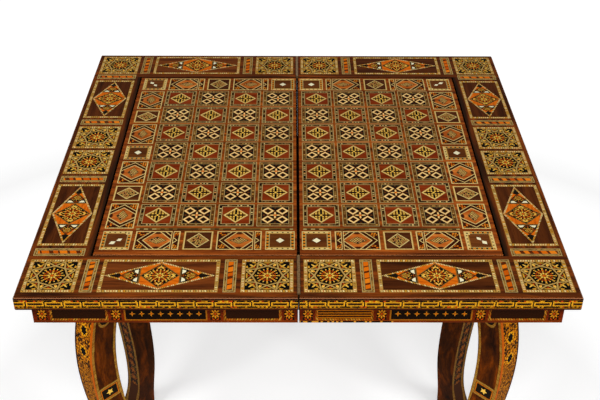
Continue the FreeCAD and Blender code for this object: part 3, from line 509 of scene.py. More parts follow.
def wallFinish(name, along):
    f = Finish(name)
    x, y, z = f.here()
    b, ring, stripes, foot = wallBand, wallBand["ring"], wallBand["stripes"], wallBand["foot"]
    bottom = boxOf("right_wall_outer")[0][2]
    outward, run, end = onSide(f, x, y, endsOf("right_wall_outer", "right_wall_far"))
    beside = abs(run - end * 0.5)
    tip = end * 0.5 - beside
    height = abs(z - (bottom + b["middle"]))
    deep = b["half"] - height
    middle = abs(tip - b["endSquare"]).least(abs(beside - b["stars"] - b["starSquare"]))
    squareEdge = (b["square"] - middle).least(deep)
    bloom, petal, flank = f.spokes(middle, height * b["flower"], 8)
    out, petalLong, petalWide = b["petal"]
    onRing = (abs(bloom - ring["at"]) < ring["half"]) & (flank > ring["beside"])
    panelEdge = (tip - b["panelEnd"]).least(beside - b["stars"] - b["panelStart"]).least(deep)
    starEdge = (b["stars"] - beside).least(deep)
    near = beside.foldOdd(b["starPitch"])
    flat, upright = (f.lozenge(near, height, *blade) > 0 for blade in b["blades"])
    onStripe = (x > 0) & (run < stripes["until"]) & (z.foldOdd(stripes["pitch"]) < stripes["half"])
    onFoot = (x > 0) & (run < foot["until"]) & (z < bottom + foot["tall"])
    colour, fine = wood(f, (x, y, z), along, walnut["tray"])
    face = f.paint(
        colour,
        *above(squareEdge, *b["squareRim"]),
        *within(
            squareEdge > b["squareRim"][-1][0],
            (f.oval(petal - out, flank, petalLong, petalWide), "corn"),
            (onRing, "orange"),
            (bloom < b["eye"], "orange"),
        ),
        (panelEdge > 0, f.cord(run, z)),
        (panelEdge.span(*b["panelLine"]), "umber"),
        *within(panelEdge > b["panelRim"], (1, b["panel"]), (onStripe, "gold")),
        (starEdge > 0, "straw"),
        *within(
            starEdge > b["starRim"],
            (1, "night"),
            (flat | upright, "corn"),
            (near + height < b["starEye"], "orange"),
        ),
        (onFoot, f.mix(f.chance(run / foot["pitch"]) > foot["share"], "black", "gold")),
    )
    # painted shade: the seam is near black with no coat, and the outer face is multiplied by a dark tint,
    # half as much on the low strip at the foot
    colour = f.paint(colour, (outward, face), (abs(x) < b["seam"], "night"))
    lowStrip = z < bottom + b["middle"] - b["half"]
    colour = f.mix(outward * (1 - lowStrip * b["footShadeEase"]), colour, f.multiplied(colour, b["darkeningTint"]))
    return f.close(colour, fine, coat=(abs(x) > b["seam"]) * varnish["coat"])


# Aprons: flowers in corded lozenges on a maroon band with a cord round it.
apronBand = {"margin": 11, "post": 48, "pitch": 116.0, "rim": 4.4, "lozenge": (50, 26), "flower": 0.9,
             "gemRim": 2.6, "field": 3.4}
apronEnds = endsOf("apron_right", "apron_back")


def apronFinish(name, along):
    f = Finish(name)
    x, y, z = f.here()
    b = apronBand
    low, high = boxOf("apron_right")
    outward, run, end = onSide(f, x, y, apronEnds)
    height = abs(z - (low[2] + high[2]) / 2)
    edge = (end - b["post"] - run).least((high[2] - low[2]) / 2 - b["margin"] - height)
    near = run.fold(b["pitch"])
    gem = f.lozenge(near, height, *b["lozenge"])
    cord = f.cord(run, z)
    colour, fine = wood(f, (x, y, z), along, walnut["rail"])
    face = f.paint(
        colour,
        (edge > 0, cord),
        *within(
            edge > b["rim"],
            (1, "maroon"),
            *above(gem, (0, cord), (b["gemRim"], "night")),
            *within(gem > b["field"], *f.flower(near, height, b["flower"])),
        ),
    )
    return f.close(f.mix(outward, colour, face), fine)


# Legs: how far out the curve's middle line lies at each height, and half the leg's width.
legLine = {
    "inset": 8.5, "top": 700.0, "reach": 50.0, "shift": 10.0,
    "curve": ((3, 29.5), (60, 15), (170, -1), (300, 11.5), (445, 24.5), (502, 19), (618, 0), (700, 0)),
    "half": 22.4, "widensFrom": 120, "widensOver": 200, "widens": 0.0155,
}


class LegFinish(Finish):
    # Place on a leg: deep is out from its middle line, and beside is across it.
    def __init__(self, name):
        super().__init__(name)
        line = legLine
        self.x, self.y, self.z = self.here()
        stations = [(z / line["top"], (out + line["shift"]) / line["reach"]) for z, out in line["curve"]]
        bent = self.node("ShaderNodeFloatCurve", {"bend": stations}, {"Value": self.z / line["top"]})
        out = bent * line["reach"] - line["shift"]
        fromX, fromY = (abs(place) - (end - line["inset"])
                        for place, end in zip((self.x, self.y), apronEnds))
        self.deep = (fromX + fromY) * diagonal - out
        self.beside = (fromY - fromX) * diagonal
        widening = (self.z - line["widensFrom"]).limited(0, line["widensOver"])
        self.half = line["half"] + widening * line["widens"]


# Outward face: gold chips, with dark eight-pointed stars and small crosses from the knee up.
legFace = {
    "knee": 446, "first": 28.2, "otherSide": 16, "pitch": 44.8, "flat": 0.85,
    "star": {"along": 0.514, "aside": 0.857, "size": 4.9, "field": 10},
    "cross": {"beside": 14, "petal": (5.4, 4.4, 2.1)},
    "chips": {"scale": 0.24, "detail": 3, "rough": 0.8, "dim": 0.3},
    "bright": ((0.3, ink(96, 50, 2)), (0.38, ink(190, 108, 4)), (0.5, ink(232, 160, 18))),
    "dull": ((0.44, "black"), (0.47, ink(92, 46, 2)), (0.52, ink(178, 98, 4)), (0.62, ink(222, 142, 14))),
    "edge": {"wide": 6.5, "tint": ink(184, 84, 4)}, "rim": 4.2,
}


def outwardFace(f):
    b, star, cross, chips = legFace, legFace["star"], legFace["cross"], legFace["chips"]
    rise = f.z - b["first"] + (f.x > 0) * b["otherSide"]
    reach, along, aside = f.spokes(f.beside, rise.fold(b["pitch"]) * b["flat"], 8)
    past, across = f.spokes(abs(f.beside) - cross["beside"], rise.foldOdd(b["pitch"]), 4)[1:]
    out, halfLong, halfWide = cross["petal"]
    grains = f.speckle((f.x, f.y, f.z), chips["scale"], chips["detail"], chips["rough"])
    dull = f.ramp(grains, *b["dull"])
    upper = f.mix(reach > star["field"], f.ramp(grains, *b["bright"]), dull)
    return f.paint(
        f.mix(f.z < b["knee"], upper, f.mix(chips["dim"], dull, "umber")),
        *within(
            f.z > b["knee"],
            (f.oval(past - out, across, halfLong, halfWide), "black"),
            (along * star["along"] + aside * star["aside"] < star["size"], "black"),
        ),
        (f.beside > f.half - b["edge"]["wide"], b["edge"]["tint"]),
        (f.beside < b["rim"] - f.half, "maroon"),
    )


# Front cheek: rope lines along both edges, an oval medal above, and two framed squares with a star.
cheekBand = {
    "margin": 3, "line": 2.4, "rope": {"pitch": 1.6, "slant": 0.2, "darkeningTint": ink(214, 186, 110), "dim": 0.3},
    "medal": {"at": 553, "wideSquared": 300, "tallSquared": 620},
    "medalSteps": ((0.2, "night"), (0.45, "gold")),
    "squares": (377, 160), "wide": 17.2, "tall": 12.5, "bar": 5.5, "field": 1.2,
    "squareSteps": ((-1.5, "brown"), (-0.6, ink(196, 104, 14)), (1.2, "night")),
    "star": {"points": 5, "along": 0.45, "aside": 0.89, "size": 3.4},
}


def ropeOf(f):
    rope = cheekBand["rope"]
    cord = f.cord(f.z, f.deep, rope["pitch"], rope["slant"])
    return f.mix(rope["dim"], f.multiplied(cord, rope["darkeningTint"]), "olive")


def frontCheek(f, ground, rope):
    b, medal, star = cheekBand, cheekBand["medal"], cheekBand["star"]
    arch = f.half - b["margin"] - abs(f.deep)
    rise = abs(f.z - medal["at"])
    ring = 1 - (f.deep * f.deep / medal["wideSquared"] + rise * rise / medal["tallSquared"]).of("SQRT")
    upper, lower = (abs(f.z - place) for place in b["squares"])
    height = upper.least(lower)
    edge = (b["wide"] - abs(f.deep)).least(b["tall"] - height)
    along, aside = f.spokes(f.deep, height, star["points"])[1:]
    return f.paint(
        ground,
        *above(ring, (0, rope), *b["medalSteps"]),
        (arch.span(-b["line"], b["line"]), rope),
        ((height < b["tall"] + b["bar"]) & (arch > b["line"]), rope),
        *above(edge, *b["squareSteps"]),
        ((edge > b["field"]) & (along * star["along"] + aside * star["aside"] < star["size"]), "corn"),
        (arch < -b["line"], "maroon"),
    )


# End cheek: a row of dim flowers on a dark ground between faint lines.
endBand = {
    "ground": ink(34, 24, 14), "bits": {"pitch": 3.4, "share": 0.25, "veil": "maroon", "veiled": 0.75},
    "pitch": 22, "flat": 0.95, "petals": 6, "petal": (5.8, 3.4, 2.3), "petalTint": ink(112, 58, 16),
    "eye": (2.6, ink(144, 78, 20)), "plainBelow": (110, "brown"), "line": 9.0, "rim": 2.0,
    "faint": {"share": 0.55, "tint": ink(84, 52, 22)},
}


def endCheek(f, rope):
    b = endBand
    bloom, petal, flank = f.spokes(f.deep * b["flat"], f.z.fold(b["pitch"]), b["petals"])
    out, halfLong, halfWide = b["petal"]
    return f.paint(
        b["ground"],
        f.bits(f.deep, f.z, **b["bits"]),
        (f.oval(petal - out, flank, halfLong, halfWide), b["petalTint"]),
        *below(bloom, b["eye"]),
        *below(f.z, b["plainBelow"]),
        (abs(f.deep) > f.half - b["line"], f.mix(b["faint"]["share"], rope, b["faint"]["tint"])),
        (abs(f.deep) > f.half - b["rim"], "maroon"),
    )


legInlay = {"from": 24, "to": 590, "turned": 0.5, "innerShade": 0.4, "figure": 0.5, "stretch": 3}


def legFinish():
    # Each leg is inlaid on its outward face and on both cheeks, and its inner face is plain wood darkened by
    # painted shade.
    f = LegFinish("inlaidLeg")
    b = legInlay
    outX, outY = (normal * place.of("SIGN") for normal, place in zip(f.facing(), (f.x, f.y)))
    outward = (outX + outY) * diagonal > b["turned"]
    sideways = (outY - outX) * diagonal
    front = sideways > b["turned"]
    end = sideways < -b["turned"]
    colour, fine = wood(f, (f.x, f.y, f.z), "z", walnut["leg"], b["figure"], b["stretch"])
    rope = ropeOf(f)
    colour = f.paint(
        colour,
        (b["innerShade"] * (1 - (outward | front | end)), "night"),
        *within(
            (f.z < b["to"]) & (f.z > b["from"]),
            (outward, outwardFace(f)),
            (front, frontCheek(f, colour, rope)),
            (end, endCheek(f, rope)),
        ),
    )
    return f.close(colour, fine)


# Half boards: the edges are painted near black as painted shade in the gap, and the near arris carries a
# painted highlight.
boardEdge = {"arris": 1.6, "blendAt": 0.4, "highlightTint": ink(160, 104, 62), "seam": 2.4}


def boardFinish():
    f = Finish("boardWalnut")
    x, y, z = f.here()
    b = boardEdge
    near = boxOf("right_board_half")[0][1]
    colour, fine = wood(f, (x, y, z), "x", walnut["board"])
    colour = f.paint(
        colour,
        # painted highlight along the near arris, then painted shade at the seam and on the upright edges
        ((y < near + b["arris"]) * b["blendAt"], b["highlightTint"]),
        (abs(x) < b["seam"], "night"),
        (abs(f.facing()[2]) < 0.5, "night"),
    )
    return f.close(colour, fine, coat=(abs(x) > b["seam"]) * varnish["coat"])


# Points of the backgammon trays, light and dark by turns.
pointPlan = {
    "first": 18, "pitch": 47,
    "ground": {"dark": ink(150, 96, 44), "mid": ink(196, 140, 72), "light": ink(220, 172, 104)},
}


def pointFinish():
    f = Finish("trayPoints")
    x, y, z = f.here()
    turns = ((abs(x) - pointPlan["first"]) / pointPlan["pitch"]).of("FLOOR")
    colour, fine = wood(f, (x, y, z), "y", pointPlan["ground"])
    return f.close(f.mix(turns.of("MODULO", 2) > 0.5, colour, "brick"), fine)


railAcross = railFinish("railWalnutAcross", "x")
railAlong = railFinish("railWalnutAlong", "y")
trayAcross = wallFinish("trayWalnutAcross", "x")
trayAlong = wallFinish("trayWalnutAlong", "y")
apronAcross = apronFinish("apronWalnutAcross", "x")
apronAlong = apronFinish("apronWalnutAlong", "y")
boardWood = boardFinish()
insideWood = plainWood("insideWalnut", "x", "inside")
platformWood = plainWood("platformWalnut", "x", "rail")
beech = plainWood("beech", "x", "beech")
# painted shade: the bearers, seen in the gap round the boards, are nearly black
shade = plainWood("beechPaintedShade", "x", "shade")
points = pointFinish()
for side in sides:
    dress(railAcross, f"{side}_rail_near", f"{side}_rail_far")
    dress(railAlong, f"{side}_rail_outer")
    dress(trayAcross, f"{side}_wall_near", f"{side}_wall_far")
    dress(trayAlong, f"{side}_wall_outer", f"{side}_wall_seam")
    dress(boardWood, f"{side}_board_half")
    dress(insideWood, f"{side}_tray_floor")
    dress(points, f"{side}_points")
    dress(beech, f"{side}_well_liner")
    dress(shade, f"{side}_board_bearers")
dress(apronAcross, "apron_front", "apron_back")
dress(apronAlong, "apron_left", "apron_right")
dress(beech, "corner_blocks")
dress(platformWood, "swivel_platform")
dress(legFinish(), "leg_front_left", "leg_front_right", "leg_back_left", "leg_back_right")
print("woods laid on")

# Metal, felt and glides.
metals = {
    "agedBrass": {"dark": ink(84, 62, 38), "light": ink(150, 118, 74), "rough": 0.42},
    "zincSteel": {"dark": ink(120, 120, 122), "light": ink(176, 176, 178), "rough": 0.36},
}
metalLook = {"patches": 0.35, "roughens": 0.15, "relief": 0.0001, "shine": 0.5, "metal": 0.9}
matts = {
    "greenFelt": {"dark": ink(20, 52, 32), "light": ink(34, 78, 50), "fibres": 3.0, "relief": 0.0004},
    "glidePlastic": {"dark": ink(18, 16, 15), "light": ink(30, 27, 25), "fibres": 1.2, "relief": 0.0001},
}
mattLook = {"rough": 0.85, "shine": 0.2}
blendAt = {"dark": 0.3, "light": 0.7}  # where in the noise both tones start


def toned(f, noise, tone):
    return f.ramp(noise, (blendAt["dark"], tone["dark"]), (blendAt["light"], tone["light"]))


def metal(name):
    f = Finish(name)
    tone, look = metals[name], metalLook
    patches = f.speckle(f.here(), look["patches"], 4, 0.6)
    rough = tone["rough"] + patches * look["roughens"]
    return f.close(toned(f, patches, tone), patches, rough, look["relief"], 0, look["shine"], look["metal"])


def matt(name):
    f = Finish(name)
    tone, look = matts[name], mattLook
    fibres = f.speckle(f.here(), tone["fibres"], 5, 0.7)
    return f.close(toned(f, fibres, tone), fibres, look["rough"], tone["relief"], 0, look["shine"])


dress(metal("agedBrass"), "left_hinge_leaves", "right_hinge_leaves", "hinge_pins", "pivot_bush",
      "left_hinge_screws", "right_hinge_screws")
dress(metal("zincSteel"), "leg_bolts", "platform_screws", "pivot_bolt", "pivot_washer", "pivot_nut",
      "swivel_stop_peg")
dress(matt("greenFelt"), "slide_pads")
dress(matt("glidePlastic"), "foot_glides")
print("metal, felt and glides laid on")


# Inlaid tiles: one point for each seat in the CAD, and a unit tile set on it and stretched to its size.
def tileSeats(name):  # lowest and highest corner of every loose solid of a node
    mesh = bmesh.new()
    mesh.from_mesh(nodes[name].data)
    bmesh.ops.remove_doubles(mesh, verts=mesh.verts, dist=1e-6)
    seen, seats = set(), []
    for start in mesh.verts:
        if start in seen:
            continue
        island, front = [], [start]
        seen.add(start)
        while front:
            vert = front.pop()
            island.append(vert.co.copy())
            for edge in vert.link_edges:
                other = edge.other_vert(vert)
                if other not in seen:
                    seen.add(other)
                    front.append(other)
        low = Vector([min(place[axis] for place in island) for axis in range(3)])
        high = Vector([max(place[axis] for place in island) for axis in range(3)])
        seats.append((low, high))
    mesh.free()
    return seats


def tileTree(name, finishes):
    # Sets a unit tile on each point, turned by "turn" and stretched by "size".
    tree = bpy.data.node_groups.new(name, "GeometryNodeTree")
    tree.interface.new_socket("Seats", in_out="INPUT", socket_type="NodeSocketGeometry")
    seed = tree.interface.new_socket("Seed", in_out="INPUT", socket_type="NodeSocketInt")
    thick = tree.interface.new_socket("Thickness", in_out="INPUT", socket_type="NodeSocketFloat")
    tree.interface.new_socket("Tiles", in_out="OUTPUT", socket_type="NodeSocketGeometry")

    def add(kind, settings=None, values=None):
        node = tree.nodes.new(kind)
        for key, value in (settings or {}).items():
            setattr(node, key, value)
        for key, value in (values or {}).items():
            if isinstance(value, bpy.types.NodeSocket):
                tree.links.new(value, node.inputs[key])
            else:
                node.inputs[key].default_value = value
        return node.outputs

    def carried(kind, name):
        return add("GeometryNodeInputNamedAttribute", {"data_type": kind}, {"Name": name})[0]

    def store(kind, domain, name, geometry, value):
        settings = {"data_type": kind, "domain": domain}
        values = {"Geometry": geometry, "Name": name, "Value": value}
        return add("GeometryNodeStoreNamedAttribute", settings, values)[0]

    start = add("NodeGroupInput")
    unit = add("GeometryNodeMeshCube", None, {"Size": (1, 1, 1)})["Mesh"]
    place = add("GeometryNodeInputPosition")[0]
    marked = store("FLOAT_VECTOR", "POINT", "spot", unit, place)
    flat = add("ShaderNodeSeparateXYZ", None, {0: carried("FLOAT_VECTOR", "size")})
    stretch = add("ShaderNodeCombineXYZ", None, {0: flat[0], 1: flat[1], 2: start["Thickness"]})[0]
    turn = add("ShaderNodeCombineXYZ", None, {2: carried("FLOAT", "turn")})[0]
    spin = add("FunctionNodeEulerToRotation", None, {0: turn})[0]
    laid = add("GeometryNodeInstanceOnPoints", None, {
        "Points": start["Seats"], "Instance": marked, "Rotation": spin, "Scale": stretch})[0]
    chance = add("FunctionNodeRandomValue", {"data_type": "FLOAT"}, {"Seed": start["Seed"]})[1]
    lots = store("FLOAT", "INSTANCE", "lot", laid, chance)
    result = add("GeometryNodeRealizeInstances", None, {0: lots})[0]
    for index, material in enumerate(finishes):
        same = add("FunctionNodeCompare", {"data_type": "INT", "operation": "EQUAL"},
                   {2: carried("INT", "kind"), 3: index})[0]
        result = add("GeometryNodeSetMaterial", None,
                     {"Geometry": result, "Selection": same, "Material": material})[0]
    add("NodeGroupOutput", None, {0: result})
    return tree, seed.identifier, thick.identifier


def layTiles(name, node, body, finishes, rule, seed):
    # A rule takes a seat's middle, width and depth, and gives the tile's kind and turn.
    points, sizes, turns, kinds = [], [], [], []
    for low, high in tileSeats(node):
        middle, span = (low + high) / 2, high - low
        kind, turn = rule(middle, span.x, span.y)
        quarter = round(turn / 90) % 2
        sizes.extend((span.y, span.x, span.z) if quarter else span)
        turns.append(math.radians(turn))
        kinds.append(list(finishes).index(kind))
        points.append(middle)
    mesh = bpy.data.meshes.new(name)
    mesh.from_pydata(points, [], [])
    mesh.attributes.new("size", "FLOAT_VECTOR", "POINT").data.foreach_set("vector", sizes)
    mesh.attributes.new("turn", "FLOAT", "POINT").data.foreach_set("value", turns)
    mesh.attributes.new("kind", "INT", "POINT").data.foreach_set("value", kinds)
    piece = bpy.data.objects.new(name, mesh)
    scene.collection.objects.link(piece)
    tree, seedInput, thickInput = tileTree(name + "Tree", finishes.values())
    modifier = piece.modifiers.new("tiles", "NODES")
    modifier.node_group = tree
    modifier[seedInput] = seed
    modifier[thickInput] = span.z  # one set is equally thick throughout
    solid = bpy.data.meshes.new_from_object(piece.evaluated_get(bpy.context.evaluated_depsgraph_get()))
    piece.modifiers.clear()
    piece.data = solid
    solid.name = name
    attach(piece, body)
    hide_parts(node)


tileLook = {
    "rough": 0.34, "relief": 0.00005, "darkest": (0.86, 0.85, 0.84, 1), "fibre": 0.4,
    "cordLot": 200, "cordSlant": 0.15, "cord": (1.0, 4.4),
}


class TileFinish(Finish):
    # Place on a tile: u along it and v across it, au and av from its middle, du and dv from its edges.
    def __init__(self, name):
        super().__init__(name)
        size = self.scaled(self.held("size"), millimetres)
        spot = self.node("ShaderNodeVectorMath", {"operation": "MULTIPLY"}, {0: self.held("spot"), 1: size})
        self.u, self.v = self.parts(spot)[:2]
        self.halfU, self.halfV = (side * 0.5 for side in self.parts(size)[:2])
        self.au = abs(self.u)
        self.av = abs(self.v)
        self.du = self.halfU - self.au
        self.dv = self.halfV - self.av
        self.edge = self.du.least(self.dv)
        self.run = self.choose(self.du < self.dv, self.u, self.v)  # along the nearest edge
        self.lot = self.held("lot", "Fac")

    def cordBorder(self):
        look = tileLook
        run = self.run + self.lot * look["cordLot"]
        return self.edge.span(*look["cord"]), self.cord(run, self.edge, slant=look["cordSlant"])

    def fibre(self):
        return self.speckle((self.u, self.v, 0), tileLook["fibre"], 2, 0.6)

    def finish(self, colour, fine):
        tone = self.ramp(self.lot, (0, tileLook["darkest"]), (1, white))
        return self.close(self.multiplied(colour, tone), fine, tileLook["rough"], tileLook["relief"])


# Red playing squares: a lozenge filled with beads, in a frame of dark and light lots.
redTile = {
    "ground": {"dark": ink(108, 36, 6), "mid": ink(130, 46, 10), "light": ink(148, 60, 18)},
    "lozenge": (20.0, 20.8), "field": 2.9, "eye": 2.6,
    "rims": ((-0.6, "umber"), (0, "straw"), (0.5, "cream"), (2.3, "gold"), (2.9, "brown")),
    "pitch": (5.3, 4.6), "bead": (1.75, 1.6), "beadRow": 3.7, "cross": (1.7, 1.4),
    "thread": (0.5, 0.4), "threadRow": 6.0,
    "frame": ((6.9, "bone"), (5.8, "umber")), "lotBand": (2.0, 5.2), "outline": (1.3, "bone"),
    "lotPitch": 2.6, "tileLot": 50, "chanceShare": 0.66, "turnShare": 0.34,
    "lots": ((0.4, "black"), (0.48, "umber"), (0.6, "olive"), (0.74, "bone"), (0.88, "cream"),
             (1.0, "orange")),
}


def redSquareFinish():
    f = TileFinish("redSquare")
    t = redTile
    ground, fine = wood(f, f.here(), "x", t["ground"])
    pitchU, pitchV = t["pitch"]
    gem = f.lozenge(f.au, f.av, *t["lozenge"])
    beads = f.oval(f.au.foldOdd(pitchU), (f.av - t["beadRow"]).fold(pitchV), *t["bead"])
    cross = (f.au < t["cross"][0]) | (f.av < t["cross"][1])
    thread = (f.au.fold(pitchU) < t["thread"][0]) | ((f.av - t["threadRow"]).fold(pitchV) < t["thread"][1])
    turn = f.run / t["lotPitch"] + f.lot * t["tileLot"]
    byTurns = (turn * 0.5).of("FRACT") < 0.5
    lots = f.ramp(f.chance(turn) * t["chanceShare"] + byTurns * t["turnShare"], *t["lots"])
    colour = f.paint(
        ground,
        *above(gem, *t["rims"]),
        *within(gem > t["field"], (thread, "umber"), (beads, "corn"), (cross, "black")),
        (f.au + f.av < t["eye"], "corn"),
        *below(f.edge, *t["frame"]),
        (f.edge.span(*t["lotBand"]), lots),
        *below(f.edge, t["outline"]),
    )
    return f.finish(colour, fine)


# Dark playing squares: four small lozenges round a cross of petals.
darkTile = {
    "ground": {"dark": ink(14, 10, 6), "mid": ink(26, 18, 10), "light": ink(44, 28, 12)},
    "middle": (11.3, 11.6), "lozenge": (10.3, 11.0),
    "rims": ((0, ink(196, 112, 40)), (0.5, "peach"), (0.9, "ivory"), (2.7, "peach"), (3.1, ink(176, 90, 26)),
             (3.7, "night")),
    "petal": 4.6, "flesh": ((4.2, 1.7), (1.6, 4.4)), "heart": ((2.4, 0.9), (0.9, 2.6)), "eye": 2.8,
    "specks": (17.5, 19.5), "speckU": (2.6, 2.0), "speckV": (2.0, 1.8),
    "frame": ((7.3, "bone"), (6.4, "sienna")), "lotBand": (2.4, 5.4), "outline": (1.2, "bone"),
    "lotPitch": 2.7, "tileLot": 50,
    "lots": ((0.0, "brown"), (0.25, "umber"), (0.6, "olive"), (0.9, "straw"), (1.0, "cream")),
}


def darkSquareFinish():
    f = TileFinish("darkSquare")
    t = darkTile
    ground, fine = wood(f, f.here(), "x", t["ground"])
    middleU, middleV = t["middle"]
    gem = f.lozenge(abs(f.au - middleU), abs(f.av - middleV), *t["lozenge"])
    speckU = f.lozenge(abs(f.au - t["specks"][0]), f.av, *t["speckU"])
    speckV = f.lozenge(f.au, abs(f.av - t["specks"][1]), *t["speckV"])
    lots = f.ramp(f.chance(f.run / t["lotPitch"] + f.lot * t["tileLot"]), *t["lots"])

    def petals(halves):
        return f.oval(f.au - t["petal"], f.av, *halves[0]) | f.oval(f.au, f.av - t["petal"], *halves[1])

    colour = f.paint(
        ground,
        (speckU.most(speckV) > 0, "sienna"),
        *above(gem, *t["rims"]),
        (petals(t["flesh"]), "peach"),
        (petals(t["heart"]), "ivory"),
        (f.au + f.av < t["eye"], "orange"),
        *below(f.edge, *t["frame"]),
        (f.edge.span(*t["lotBand"]), lots),
        *below(f.edge, t["outline"]),
    )
    return f.finish(colour, fine)


# Long border tiles: an orange lozenge in a dark band that runs past its long sides.
lozengeTile = {
    "ground": {"dark": ink(150, 66, 16), "mid": ink(190, 96, 30), "light": ink(220, 130, 52)},
    "tip": 3, "slope": 0.86, "steep": 0.76, "core": (15.6, 9.6), "coreRim": 1.2,
    "coreBits": {"pitch": 4.2, "share": 0.9, "veil": "cream", "veiled": 0.5},
    "bud": 4.2, "buds": ((6.2, 3.6, "sienna"), (4.4, 2.2, "maroon")),
    "band": ((7.6, "cream"), (6.2, "maroon"), (1.4, "cream"), (0, "maroon")),
    "wedge": {"u": 8.5, "v": 5.5, "size": 9, "past": -0.8, "slant": 0.3},
    "wedgeBits": {"pitch": 4.0, "share": 0.8, "veil": "orange", "veiled": 0.6},
    "outline": (1.8, "cream"), "split": ((0.6, 0.72, "cream"), (0.63, 0.69, "sienna")),
}


def borderLozengeFinish(name, split):
    f = TileFinish(name)
    t, wedge = lozengeTile, lozengeTile["wedge"]
    ground, fine = wood(f, f.here(), "x", t["ground"])
    past = (f.halfU - t["tip"] - f.au - f.av * t["slope"]) * t["steep"]
    core = f.lozenge(f.au, f.av, *t["core"])
    corner = abs(f.halfU - wedge["u"] - f.au) + abs(f.halfV - wedge["v"] - f.av)
    fromSide = f.av - f.halfV + t["bud"]
    colour = f.paint(
        ground,
        *((f.oval(f.au, fromSide, halfU, halfV), tint) for halfU, halfV, tint in t["buds"]),
        *above(core, (0, "olive"), (t["coreRim"], "night")),
        *within(core > t["coreRim"], f.bits(f.u + f.v, f.u - f.v, **t["coreBits"])),
        *below(past, *t["band"]),
        *within((past < wedge["past"]) & (corner < wedge["size"]),
                f.bits(f.u - f.v * wedge["slant"], f.v, **t["wedgeBits"])),
        *below(f.edge, t["outline"]),
    )
    if split:
        strip = f.u / f.halfU
        colour = f.paint(colour, *((strip.span(low, high), tint) for low, high, tint in t["split"]))
    return f.finish(colour, fine)


darkBorderTile = {
    "ground": {"dark": ink(58, 26, 8), "mid": ink(82, 40, 14), "light": ink(104, 54, 20)},
    "lozenge": (17.0, 18.4), "rims": ((0, "cream"), (1.8, "night")), "field": 2.2,
    "bits": {"pitch": 3.6, "share": 0.85, "veil": "cream", "veiled": 0.35},
    "frame": ((3.4, "sienna"), (2.6, "cream"), (0.8, "straw")),
}


def borderDarkFinish():
    f = TileFinish("borderDark")
    t = darkBorderTile
    ground, fine = wood(f, f.here(), "x", t["ground"])
    gem = f.lozenge(f.au, f.av, *t["lozenge"])
    colour = f.paint(
        ground,
        *above(gem, *t["rims"]),
        *within(gem > t["field"], f.bits(f.u + f.v, f.u - f.v, **t["bits"])),
        *below(f.edge, *t["frame"]),
    )
    return f.finish(colour, fine)


# The frame of pearl and corner tiles: bead strips at the ends, spotted light strips along the sides.
beadedLook = {
    "wide": 6.6, "light": 5.0, "outline": (1.2, "cream"),
    "spots": {"pitch": 8.0, "at": 3.2, "half": (1.4, 1.2)},
    "beadPitch": 7.5, "strip": (1.3, 5.2, "brown"),
    "beads": ((1.6, 5.0, 2.2, "gold"), (2.0, 4.6, 1.2, "orange")),
}


def beadedFrame(f, ground):
    t, spots = beadedLook, beadedLook["spots"]
    ends = f.du < f.dv
    bead = f.v.foldOdd(t["beadPitch"])
    spot = f.oval(f.u.foldOdd(spots["pitch"]), f.dv - spots["at"], *spots["half"])
    low, high, tint = t["strip"]
    return f.paint(
        ground,
        *within(
            1 - ends,
            *below(f.edge, (t["wide"], "straw"), (t["light"], "cream")),
            ((f.edge < t["wide"]) & spot, "night"),
        ),
        *within(
            ends,
            (f.edge < t["wide"], "bone"),
            (f.edge.span(low, high), tint),
            *((f.edge.span(start, stop) & (bead < half), hue) for start, stop, half, hue in t["beads"]),
        ),
        *below(f.edge, t["outline"]),
    )


pearlTile = {
    "ground": {"dark": ink(84, 42, 12), "mid": ink(100, 52, 16), "light": ink(114, 60, 20)},
    "lozenge": (6.4, 6.2),
}


def borderPearlFinish():
    f = TileFinish("borderPearl")
    t = pearlTile
    ground, fine = wood(f, f.here(), "x", t["ground"])
    colour = f.paint(beadedFrame(f, ground), (f.lozenge(f.au, f.av, *t["lozenge"]) > 0, "pearl"))
    return f.finish(colour, fine)


# Corner tiles: two slanted leaves of pearl, and a step in the outer corner.
cornerTile = {
    "ground": {"dark": ink(84, 42, 12), "mid": ink(104, 54, 18), "light": ink(130, 72, 28)},
    "step": 9, "dot": 5, "dotHalf": 1.6, "slant": 0.4,
    "leaves": ((4.8, 6.2, 3.5, 3.3), (-4.8, -1.2, 3.0, 2.9)),
}


def borderCornerFinish():
    f = TileFinish("borderCorner")
    t = cornerTile
    ground, fine = wood(f, f.here(), "x", t["ground"])

    def leaf(u, v, halfU, halfV):
        down = f.v - v
        return (abs(f.u - u - down * t["slant"]) < halfU) & (abs(down) < halfV)

    first, second = (leaf(*place) for place in t["leaves"])
    step = (f.u < t["step"] - f.halfU) & (f.v < t["step"] - f.halfV)
    dotU = f.u + f.halfU - t["dot"]
    dotV = f.v + f.halfV - t["dot"]
    colour = f.paint(
        beadedFrame(f, ground),
        (step, "cream"),
        (f.oval(dotU, dotV, t["dotHalf"], t["dotHalf"]), "night"),
        (first | second, "pearl"),
    )
    return f.finish(colour, fine)


dashTile = {
    "ground": {"dark": "umber", "mid": "olive", "light": "straw"},
    "pitch": 6.4, "half": 1.3, "dark": 0.45, "light": 0.12,
}


def dashStripFinish():
    f = TileFinish("dashStrip")
    t = dashTile
    ground, fine = wood(f, f.here(), "x", t["ground"])
    chance = f.chance(f.u / t["pitch"])
    dashes = within(f.av < t["half"], (chance > t["dark"], "night"), (chance < t["light"], "bone"))
    return f.finish(f.paint(ground, *dashes), fine)


# Square mosaics of the frame: a flower in an octagon of straps, inside an eight-pointed star.
mosaicTile = {
    "flower": 0.94, "octagon": 20.6, "tip": 22, "slope": (0.8, 0.6), "strap": ((1.3, "straw"), (0.5, "bone")),
    "leaf": {"from": 17.5, "to": 27, "out": 28.2, "bend": 18, "lean": 0.25, "cut": 53},
    "bud": (31.5, 5.6, 1.3), "stem": {"at": 13, "out": 31, "lean": 0.9, "half": 0.9, "from": 22},
    "onSpokes": ((29.6, 1.2, 6.4, "gold"), (26.6, 1.3, 1.9, "rust")),
    "between": ((26.2, 3.4, 2.0, "corn"), (24.4, 1.0, 1.2, "orange")),
    "frame": ((6.0, "umber"), (5.4, "straw")),
}


